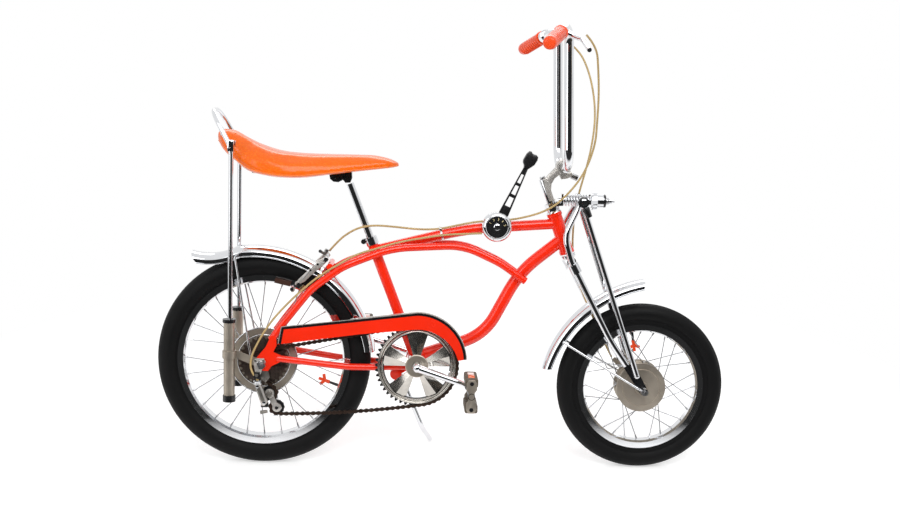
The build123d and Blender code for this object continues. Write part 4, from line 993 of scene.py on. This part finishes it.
def place_numbers(shape, centre, radius, material):
    """The gear numbers round the dial's face."""
    for number in range(1, 6):
        text = bpy.data.curves.new("gear_number", "FONT")
        text.body = str(number)
        text.size = 7.5
        text.align_x, text.align_y = "CENTER", "CENTER"
        text.extrude = 0.1
        angle = math.radians(150 - (number - 1) * 34)
        turn = Matrix.Translation(polar(centre, radius, angle, -35.3))
        turn = turn @ Matrix.Rotation(math.pi / 2 - angle, 4, "Y") @ Matrix.Rotation(math.pi / 2, 4, "X")
        mesh = as_mesh(text)
        part = bmesh.new()
        part.from_mesh(mesh)
        bpy.data.meshes.remove(mesh)
        stamp(shape, part, turn, material)


# Trim on the chain guard, chainring and wheels
class CHOPPER_OT_guard_stripe(bpy.types.Operator):
    """Lays the black band and its pale edge round the chain guard"""
    bl_idname = "chopper.guard_stripe"
    bl_label = "Chain guard band"

    def execute(self, context):
        centre, radius, start, end = guard_arc()
        edge = [Vector((x, 0, z)) for x, z in ((36.6, 304), (44, 345), (206, 364.5), (363, 384))]
        edge += [polar(centre, radius, start + (end - start) * step / 40) for step in range(1, 41)]
        for name, near, far, finish_name, slot in (
                ("guard_edge", -0.4, 1.5, "Bright alloy", "steel"),
                ("guard_band", 1.5, 7.4, "Black enamel", "black_plastic")):
            shape = bmesh.new()
            slab(shape, flat(inset_line(edge, near) + inset_line(edge, far)[::-1]), -61.92, -62.15)
            if near < 0:
                slab(shape, flat(inset_line(edge, -0.45)[2:] + inset_line(edge, 0.4)[:1:-1]), -50.2, -62.1)
            add_piece(name, shape, "chassis", finish_name)
        return {"FINISHED"}


def guard_arc():
    """The circle through the three points of the guard's front edge."""
    a = Vector((363, 0, 384))
    b, c = (polar(BOTTOM_BRACKET, radius, math.radians(degrees)) for radius, degrees in ((127, 50), (120, 9)))
    d = 2 * (a.x * (b.z - c.z) + b.x * (c.z - a.z) + c.x * (a.z - b.z))
    aa, bb, cc = a.length_squared, b.length_squared, c.length_squared
    x = (aa * (b.z - c.z) + bb * (c.z - a.z) + cc * (a.z - b.z)) / d
    z = (aa * (c.x - b.x) + bb * (a.x - c.x) + cc * (b.x - a.x)) / d
    centre = Vector((x, 0, z))
    start, end = (math.atan2((p - centre).z, (p - centre).x) for p in (a, c))
    return centre, (a - centre).length, start, end


def inset_line(line, distance):
    """The same line, this far to its right."""
    moved = []
    for i, point in enumerate(line):
        ahead, behind = line[min(i + 1, len(line) - 1)], line[max(i - 1, 0)]
        a, b = (point - behind).normalized(), (ahead - point).normalized()
        along = (a + b).normalized()
        stretch = 1 / max((1 + a.dot(b)) / 2, 0.25) ** 0.5 if a.length and b.length else 1.0
        moved.append(point + Vector((along.z, 0, -along.x)) * distance * stretch)
    return moved


class CHOPPER_OT_ring_spokes(bpy.types.Operator):
    """Folds the five broad spokes of the chainring along their middles"""
    bl_idname = "chopper.ring_spokes"
    bl_label = "Chainring spokes"

    def execute(self, context):
        shape = bmesh.new()
        for number in range(5):
            for base, ridge in ((-51.55, -57.4), (-48.45, -43.2)):
                part = bmesh.new()
                bmesh.ops.create_grid(part, x_segments=2, y_segments=1, size=1.0)
                for vert in part.verts:
                    side, out = round(vert.co.x), vert.co.y > 0
                    radius, spread = (80.5, 18.3) if out else (26.0 if side else 24.0, 20.5)
                    angle = math.radians(90 + 72 * number + side * spread)
                    vert.co = polar(BOTTOM_BRACKET, radius, angle, base if side else ridge)
                bmesh.ops.subdivide_edges(part, edges=part.edges, cuts=1, use_grid_fill=True)
                bmesh.ops.recalc_face_normals(part, faces=part.faces)
                bmesh.ops.solidify(part, geom=part.faces[:], thickness=0.5)
                stamp(shape, part)
        cap = [(27.4, -56.6), (27.4, -57.6), (25.4, -59.0), (11.6, -59.4), (11.6, -56.6)]
        spun(shape, cap, BOTTOM_BRACKET, steps=64, material=1)
        for face, sense in ((-52.6, -1), (-47.4, 1)):
            for low, high, rise in ((80.5, 86.5, 3.2), (86.9, 90.3, 1.6), (90.4, 92.6, 0.9)):
                arch = [(low + (high - low) * i / 8, face + sense * (rise * math.sin(math.pi * i / 8) + 0.1))
                        for i in range(9)]
                foot = face - sense * 0.9
                spun(shape, [(high, foot), (low, foot)] + arch, BOTTOM_BRACKET, steps=120)
        add_piece("ring_spokes", shape, "crankset", ("Polished steel", "Satin alloy"), smooth=24)
        shape = bmesh.new()
        for r in (62.0, 79.5):
            ring = [(r + 1.7 * math.cos(a), 1.7 * math.sin(a) - 24.2)
                    for a in (FULL_TURN * i / 12 for i in range(12))]
            spun(shape, ring, REAR_AXLE)
        add_piece("guard_rings", shape, "rear_wheel", "Chrome")
        return {"FINISHED"}


class CHOPPER_OT_nipples(bpy.types.Operator):
    """Screws a nipple on the rim end of each spoke, and marks its head in the hub"""
    bl_idname = "chopper.nipples"
    bl_label = "Spoke nipples"

    def execute(self, context):
        spokes = 28
        for end, axle, radius, sides, hub_radius in (
                ("rear", REAR_AXLE, REAR_R, (-15.9, 25.9), 31.0),
                ("front", FRONT_AXLE, FRONT_R, (-18.9, 17.9), 55.0)):
            shape = bmesh.new()
            for i in range(spokes):
                y = sides[i % 2]
                at, lead = math.radians(360 * i / spokes), math.radians(38 if (i // 2) % 2 else -38)
                hub = polar(axle, hub_radius, at + lead, y)
                rim = polar(axle, radius - RIM_EDGE - RIM_DEPTH - 0.6, at, y * 0.12)
                along = (hub - rim).normalized()
                rod(shape, rim + along * 0.2, rim + along * 8.5, 2.1, 1.75, sides=8)
                rod(shape, hub - along * 1.5, hub + along * 2.5, 1.9, sides=8)
            add_piece(end + "_nipples", shape, end + "_wheel", "Zinc steel")
        return {"FINISHED"}


class CHOPPER_OT_cable_clips(bpy.types.Operator):
    """Straps the rear brake cable to the top tube"""
    bl_idname = "chopper.cable_clips"
    bl_label = "Cable clips"

    def execute(self, context):
        shape = bmesh.new()
        middle, along = Vector((419, 0, 563.6)), Vector((0.968, 0, 0.251))
        up, left = Vector((-along.z, 0, along.x)), Vector((0, 3, 0))
        ring = [middle + Vector((0, math.cos(a), 0)) * 13.5 + up * math.sin(a) * 13.5
                for a in (FULL_TURN * i / 32 for i in range(32))]
        for shift in (-1.6, 0.0, 1.6):
            tube(shape, [p + along * shift for p in ring], 0.9, sides=8, closed=True)
        block(shape, middle + up * 15.2 + Vector((0, -7.6, 0)), (7.0, 8.0, 3.0), bevel=0.6)
        rod(shape, middle + up * 13 + left, middle + up * 19 + left, 2.6, sides=6)
        add_piece("cable_clip", shape, "chassis", "Chrome")
        return {"FINISHED"}


# Bent and rolled metal
def bent(points, radii, step=5):
    """Points along straight runs with a tangent bend of the given radius at each corner."""
    points = [Vector(p) for p in points]
    line = [points[0]]
    for before, corner, after, radius in zip(points, points[1:], points[2:], radii):
        a, b = (before - corner).normalized(), (after - corner).normalized()
        half = a.angle(b) / 2
        middle = corner + (a + b).normalized() * radius / math.sin(half)
        start = corner + a * radius / math.tan(half)
        turn = math.pi - 2 * half
        axis = (start - middle).cross(b)
        count = max(int(math.degrees(turn) / step), 3)
        line += [middle + Matrix.Rotation(turn * i / count, 3, axis) @ (start - middle) for i in range(count + 1)]
    return line + [points[-1]]


def along_arcs(start, heading, arcs, distance):
    """Point and heading this far along a chain of (radius, degrees) arcs in the x, z plane."""
    place, heading = Vector(start), math.radians(heading)
    for radius, degrees in arcs:
        sense = math.copysign(1, degrees)
        length = radius * abs(math.radians(degrees))
        run = min(distance, length) if (radius, degrees) != arcs[-1] else distance
        middle = place + Vector((-math.sin(heading), math.cos(heading))) * sense * radius
        turn = sense * run / radius
        place = middle + Matrix.Rotation(turn, 2) @ (place - middle)
        heading += turn
        distance -= run
        if distance <= 0:
            break
    return place, heading


def fender_skin(centre, radius, start, arcs, half, depth, slants):
    """A rolled fender: crown, crease, flank and beaded edge, carried along its arcs."""
    edge = [(0.0, 0.0), (0.45, 1.2), (0.74, 4.3), (0.88, 8.2), (0.925, 10.2), (0.985, 12.6), (1.0, 16.0)]
    bead = [(0, -1.6), (1.2, -1.2), (1.5, 0), (0.9, 1.0), (-0.6, 0.7)]
    side = [(half * a, d) for a, d in edge] + [(half + a, depth + d) for a, d in bead]
    side += [(half * a - 1.3, d + 0.8) for a, d in reversed(edge[1:])] + [(0.0, 1.5)]
    ring = side + [(-y, d) for y, d in reversed(side[1:-1])]
    a = math.radians(start)
    begin = (centre[0] + radius * math.cos(a), centre[1] + radius * math.sin(a))
    total = sum(r * abs(math.radians(t)) for r, t in arcs)
    shape, rows, count = bmesh.new(), [], 90
    for i in range(count + 1):
        s = total * i / count
        low, high = max(0.0, 1 - s / 50) * slants[0], max(0.0, 1 - (total - s) / 50) * slants[1]
        row = []
        for y, d in ring:
            place, heading = along_arcs(begin, start + 90, arcs, s + (low - high) * (d / depth) ** 1.5)
            p = place + Vector((-math.sin(heading), math.cos(heading))) * d
            row.append(shape.verts.new((p.x, y, p.y)))
        rows.append(row)
    for r0, r1 in zip(rows, rows[1:]):
        for k in range(len(ring)):
            n = (k + 1) % len(ring)
            shape.faces.new((r0[k], r0[n], r1[n], r1[k]))
    shape.faces.new(rows[0])
    shape.faces.new(rows[-1][::-1])
    bmesh.ops.recalc_face_normals(shape, faces=shape.faces)
    return shape


class CHOPPER_OT_fenders(bpy.types.Operator):
    """Rolls the fenders with their creased sides, beaded edges and swept tail"""
    bl_idname = "chopper.fenders"
    bl_label = "Fenders"

    def execute(self, context):
        rear = (-24.5, 236.7), 293.5, 8.3, [(293.5, 87.7), (50, 20), (140, -42)], 32.0, 24.0, (5, 17)
        front = (966.0, 161.0), 309.5, 100.5, [(309.5, 64.0)], 27.0, 22.0, (7, 7)
        for name, body, values in (("rear_fender", "chassis", rear), ("front_fender", "steering", front)):
            add_piece("rolled_" + name, fender_skin(*values), body, "Chrome", (name,), smooth=35)
        return {"FINISHED"}


class CHOPPER_OT_back_rest(bpy.types.Operator):
    """Bends the hooped back rest, with its clamps on the seat's sides"""
    bl_idname = "chopper.back_rest"
    bl_label = "Back rest"

    def execute(self, context):
        shape = bmesh.new()
        half = [(-73, 80, 357.5), (-71.5, 80, 764), (-118, 64, 847)]
        tube(shape, bent(half + [(x, -y, z) for x, y, z in reversed(half)], [62, 56, 56, 62]), 5.6, sides=20)
        for side in (-1, 1):
            block(shape, (-72.5, side * 76.5, 768), (15, 16, 27), bevel=2.5)
            for x, z, y0, y1, radius, sides in (
                    (-72.5, 760, 84, 88, 4.2, 6), (-72.5, 760, 88, 89.5, 2.2, 12), (-72.5, 776, 84, 88, 4.2, 6),
                    (-72.5, 776, 88, 89.5, 2.2, 12), (-75, 768, 49, 72, 4.0, 16)):
                pin(shape, x, z, side * y0, side * y1, radius, sides)
            slab(shape, [(-79, 757), (-66, 757), (-64, 779), (-77, 779)], side * 50.5, side * 52.5)
        add_piece("bent_back_rest", shape, "chassis", "Chrome", ("sissy_bar",))
        return {"FINISHED"}


# Gear mechanism and brake
class CHOPPER_OT_derailleur(bpy.types.Operator):
    """Builds the rear derailleur: hanger, knuckles, parallel links and pulley cage"""
    bl_idname = "chopper.derailleur"
    bl_label = "Derailleur"

    def execute(self, context):
        shape = bmesh.new()
        hanger = [(-10, 252), (10, 252), (18, 222), (8, 209), (-3, 218)]
        bracket = [(-20, 266), (-15, 269.5), (5, 269.5), (9, 262), (6, 249), (1, 243), (-3, 231), (-15, 231),
                   (-18, 247)]
        link = [(-16.5, 208), (-1, 208), (15.5, 166), (7, 157), (0, 158)]
        rib = [(-12, 203), (-4, 203), (9, 169), (4, 164), (1, 166)]
        add_each(slab, shape, (
            (hanger, -59.7, -63.0, 0.6, 3), (bracket, -65.5, -71.5, 1.4, 0), (link, -76.5, -78.5, 0.7, 0),
            (link, -64.0, -66.0, 0.7, 3), (rib, -78.0, -79.2, 0.4, 3)))
        add_each(block, shape, (
            ((-11.5, -70, 229), (15, 12, 16), 1.6, 2), ((-9, -71, 213), (19, 15, 9.5), 1.4, 1),
            ((7, -69, 158), (17, 14, 10.5), 1.5, 2)))
        add_each(pin, shape, (
            (-4.2, 258, -71.0, -76.5, 7.6, 6, 1, 0.7), (-4.2, 258, -76.5, -81.0, 4.4, 20, 3, 0.6),
            (-15, 264, -71.0, -73.2, 2.6, 12, 3), (4, 264, -71.0, -73.2, 2.6, 12, 3),
            (-11.5, 230, -75, -77.5, 4.2, 16, 3), (-9.5, 204, -62, -81.5, 4.0, 20, 1, 0.6),
            (6.5, 165, -62, -81.5, 4.2, 20, 1, 0.6)))
        add_each(rod, shape, (
            ((-16, -78, 213), (-2, -78, 213), 2.4, None, 12, 1),
            ((-3, -70, 139), (14, -70, 142), 4.6, 3.6, 16, 3, 0.7),
            ((17, -57.5, 182), (17, -72, 182), 6.6, 7.4, 24, 3, 0.8),
            ((27, -58, 128.5), (38, -58, 128.5), 1.4, None, 8, 1)))
        coil = [Vector((2 + t * 5.5, -71 + 4.4 * math.cos(t * 2.2), 190 - t * 13 + 4.4 * math.sin(t * 2.2)))
                for t in (i / 8 for i in range(-8, 10))]
        tube(shape, coil, 1.1, sides=8, material=1)
        cage = [(10, 184), (24, 184), (40, 150), (31, 142), (25, 150)]
        for face in (-56.6, -43.4):
            away = math.copysign(1.6, face - CHAIN_Y)
            slab(shape, cage, face, face + away, 0.5, 0)
            for (x, z), radius in zip(PULLEYS, (11.0, 10.5)):
                pin(shape, x, z, face, face + away * 1.3, radius, 36, 0, 0.4)
                pin(shape, x, z, face, face + away * 2.6, 4.6, 6, 1)
        for x, z in PULLEYS:
            middle = Vector((x, 0, z))
            pin(shape, x, z, -57, -43, 2.9, 16, 3)
            spun(shape, [(11.2, -48.4), (17.6, -48.8), (17.6, -51.2), (11.2, -51.6)], middle, steps=40, material=2)
            for tooth in range(11):
                root, tip = (polar(middle, radius, FULL_TURN * tooth / 11, CHAIN_Y) for radius in (16.6, 18.6))
                rod(shape, root, tip, 2.7, 1.2, sides=8, material=2)
        finishes = "Bright alloy", "Chrome", "Black plastic", "Cast alloy"
        replaced = "derailleur", "jockey_pulleys"
        add_piece("gear_mech", shape, "chassis", finishes, replaced, smooth=32)
        return {"FINISHED"}


class CHOPPER_OT_calliper(bpy.types.Operator):
    """Builds the rear brake's arms, pad holders, springs and bolts"""
    bl_idname = "chopper.calliper"
    bl_label = "Rear brake"

    def execute(self, context):
        shape = bmesh.new()
        arm = [(147, 512), (153, 503), (141, 490), (119, 472), (97, 450), (86, 444), (79, 452), (92, 465), (112, 484),
               (132, 503)]
        rib = [(140, 506), (146, 500), (128, 485), (111, 471), (106, 475), (122, 489)]
        holder, spring = ((62, 429), (79, 450), (85.5, 445), (68.5, 424)), ((142, 497), (120, 492), (92, 457))
        for side in (-1, 1):
            far = side * 40.0
            slab(shape, arm, side * 34.0, far, 1.6, 0)
            slab(shape, rib, far, far + side * 1.6, 0.8, 0)
            loop = [(x, side * 38, z) for x, z in holder]
            tube(shape, bent(loop + loop[:2], [4, 4, 4, 4], 20)[1:-1], 2.1, sides=10, closed=True)
            tube(shape, bent([(x, side * 41.5, z) for x, z in spring], [30], 8), 1.1, sides=8, material=2)
            add_each(pin, shape, (
                (66.5, 431, side * 33, side * 43, 4.6, 6, 1), (74, 439, side * 34, side * 41, 3.4, 12, 2),
                (110, 478, far, far + side * 2.6, 2.8, 12, 1), (127, 492, far, far + side * 2.6, 2.8, 12, 1)))
        add_each(pin, shape, (
            (146, 504, -37, 37, 4.5, 20, 2), (146, 504, -46, -38, 6.4, 6, 1, 0.6), (142, 517, -30, 30, 3.2, 16, 3)))
        for x, z in ((131, 520), (147, 521)):
            rod(shape, (142, -12, 512), (x, -16, z), 3.0, 3.6, sides=12, material=3, bevel=0.6)
            pin(shape, x, z, -20, -12, 4.2, 6, 2)
        finishes = "Bright alloy", "Chrome", "Zinc steel", "Cast alloy"
        add_piece("brake_calliper", shape, "chassis", finishes, ("rear_brake",), smooth=32)
        return {"FINISHED"}


BOSS_X, BOSS_Y = 750.0, 52.0        # the pins at the top of the sprung struts


class CHOPPER_OT_fork_head(bpy.types.Operator):
    """Adds the bosses, nuts and knuckles at the top of the fork, and the clamp and stem bolts"""
    bl_idname = "chopper.fork_head"
    bl_label = "Fork head and bolts"

    def execute(self, context):
        shape = bmesh.new()
        middle = Vector((BOSS_X, 0, SPRING_Z))
        boss = [(0, 0), (12.5, 0), (12.5, 2.0), (11.0, 3.0), (0, 3.0)]
        nut = [(0, 3.0), (8.4, 3.0), (8.4, 4.4), (5.0, 5.6), (0, 6.0)]
        for side in (-1, 1):
            for outline, kind in ((boss, 1), (nut, 0)):
                spun(shape, [(r, side * BOSS_Y + side * y) for r, y in outline], middle, steps=48, material=kind)
            top = middle + Vector((5, side * (BOSS_Y - 4), -13))
            rod(shape, top, top + Vector((10, side * 1.0, -22)), 9.0, 7.4, sides=24, material=1, bevel=1.2)
        for x0, x1, r0, r1, kind in (
                (803.4, 808.8, 15.6, 15.6, 1), (809.3, 818, 8.4, 7.6, 2), (818, 831, 4.6, 3.6, 0)):
            rod(shape, (x0, 0, SPRING_Z), (x1, 0, SPRING_Z), r0, r1, sides=32, material=kind, bevel=0.5)
        rod(shape, (725.0, 0, 711.0), (740.0, 0, 705.0), 7.0, sides=6, material=2, bevel=0.8)
        add_piece("fork_head_trim", shape, "steering", ("Chrome", "Black enamel", "Zinc steel"))
        return {"FINISHED"}


class CHOPPER_OT_stem(bpy.types.Operator):
    """Casts the stem: a quill with a curved neck that carries the handlebar's clamp"""
    bl_idname = "chopper.stem"
    bl_label = "Stem"

    def execute(self, context):
        shape = bmesh.new()
        rise = Vector((-math.cos(HEAD_ANGLE), 0, math.sin(HEAD_ANGLE)))
        neck = [(673.2, 648.3), (664, 672), (655.3, 701.2), (663.8, 704.4), (676.0, 718.6), (688.3, 731.6),
                (696.5, 740.3), (709.5, 736.2), (703.5, 722.0), (693.1, 711.4), (684.2, 703.9), (677.4, 690.9),
                (676.7, 676.0), (683.3, 657.0), (689.0, 652.9)]
        lug = [(695.5, 712.6), (700.1, 702.1), (714.9, 704.6), (728.5, 711.3), (723.9, 720.7), (710.2, 717.1)]
        clamp = [(11.2, -17), (11.2, 17), (16.2, 17), (17.2, 15.5), (17.2, -15.5), (16.2, -17)]
        rod(shape, HEAD_TOP - rise * 60, HEAD_TOP + rise * 84, 10.9, sides=40, material=1, bevel=0.8)
        rod(shape, HEAD_TOP + rise * 84, HEAD_TOP + rise * 91, 6.4, sides=6, material=2, bevel=0.8)
        slab(shape, neck, -12.5, 12.5, 3.0, 0)
        slab(shape, lug, -9.0, 9.0, 1.5, 0)
        spun(shape, clamp, Vector((704.5, 0, 732)), steps=64)
        finishes = "Bright alloy", "Chrome", "Zinc steel"
        add_piece("cast_stem", shape, "steering", finishes, ("stem",), smooth=34)
        return {"FINISHED"}


class CHOPPER_PT_panel(bpy.types.Panel):
    bl_label = "Chopper bicycle"
    bl_idname = "CHOPPER_PT_panel"
    bl_space_type = "VIEW_3D"
    bl_region_type = "UI"
    bl_category = "Chopper"

    def draw(self, context):
        for settings in (context.scene.chopper_sizes, context.scene.chopper_colours):
            for name in settings.bl_rna.properties.keys():
                if name not in ("rna_type", "name"):
                    self.layout.prop(settings, name)
        for step in STEPS:
            self.layout.operator(step.bl_idname)


STEPS = (
    CHOPPER_OT_stage, CHOPPER_OT_finishes, CHOPPER_OT_cables, CHOPPER_OT_saddle, CHOPPER_OT_tyres,
    CHOPPER_OT_spring, CHOPPER_OT_chain, CHOPPER_OT_valve_caps, CHOPPER_OT_grips, CHOPPER_OT_pedals,
    CHOPPER_OT_shifter, CHOPPER_OT_guard_stripe, CHOPPER_OT_ring_spokes, CHOPPER_OT_nipples,
    CHOPPER_OT_cable_clips, CHOPPER_OT_fenders, CHOPPER_OT_back_rest, CHOPPER_OT_derailleur,
    CHOPPER_OT_calliper, CHOPPER_OT_fork_head, CHOPPER_OT_stem)
CLASSES = (ChopperSizes, ChopperColours, *STEPS, CHOPPER_PT_panel)


def register():
    for each in CLASSES:
        bpy.utils.register_class(each)
    bpy.types.Scene.chopper_sizes = PointerProperty(type=ChopperSizes)
    bpy.types.Scene.chopper_colours = PointerProperty(type=ChopperColours)


def unregister():
    del bpy.types.Scene.chopper_colours
    del bpy.types.Scene.chopper_sizes
    for each in reversed(CLASSES):
        bpy.utils.unregister_class(each)


def main():
    register()
    for step in STEPS:
        part, action = step.bl_idname.split(".")
        getattr(getattr(bpy.ops, part), action)()


if __name__ == "__main__":
    main()
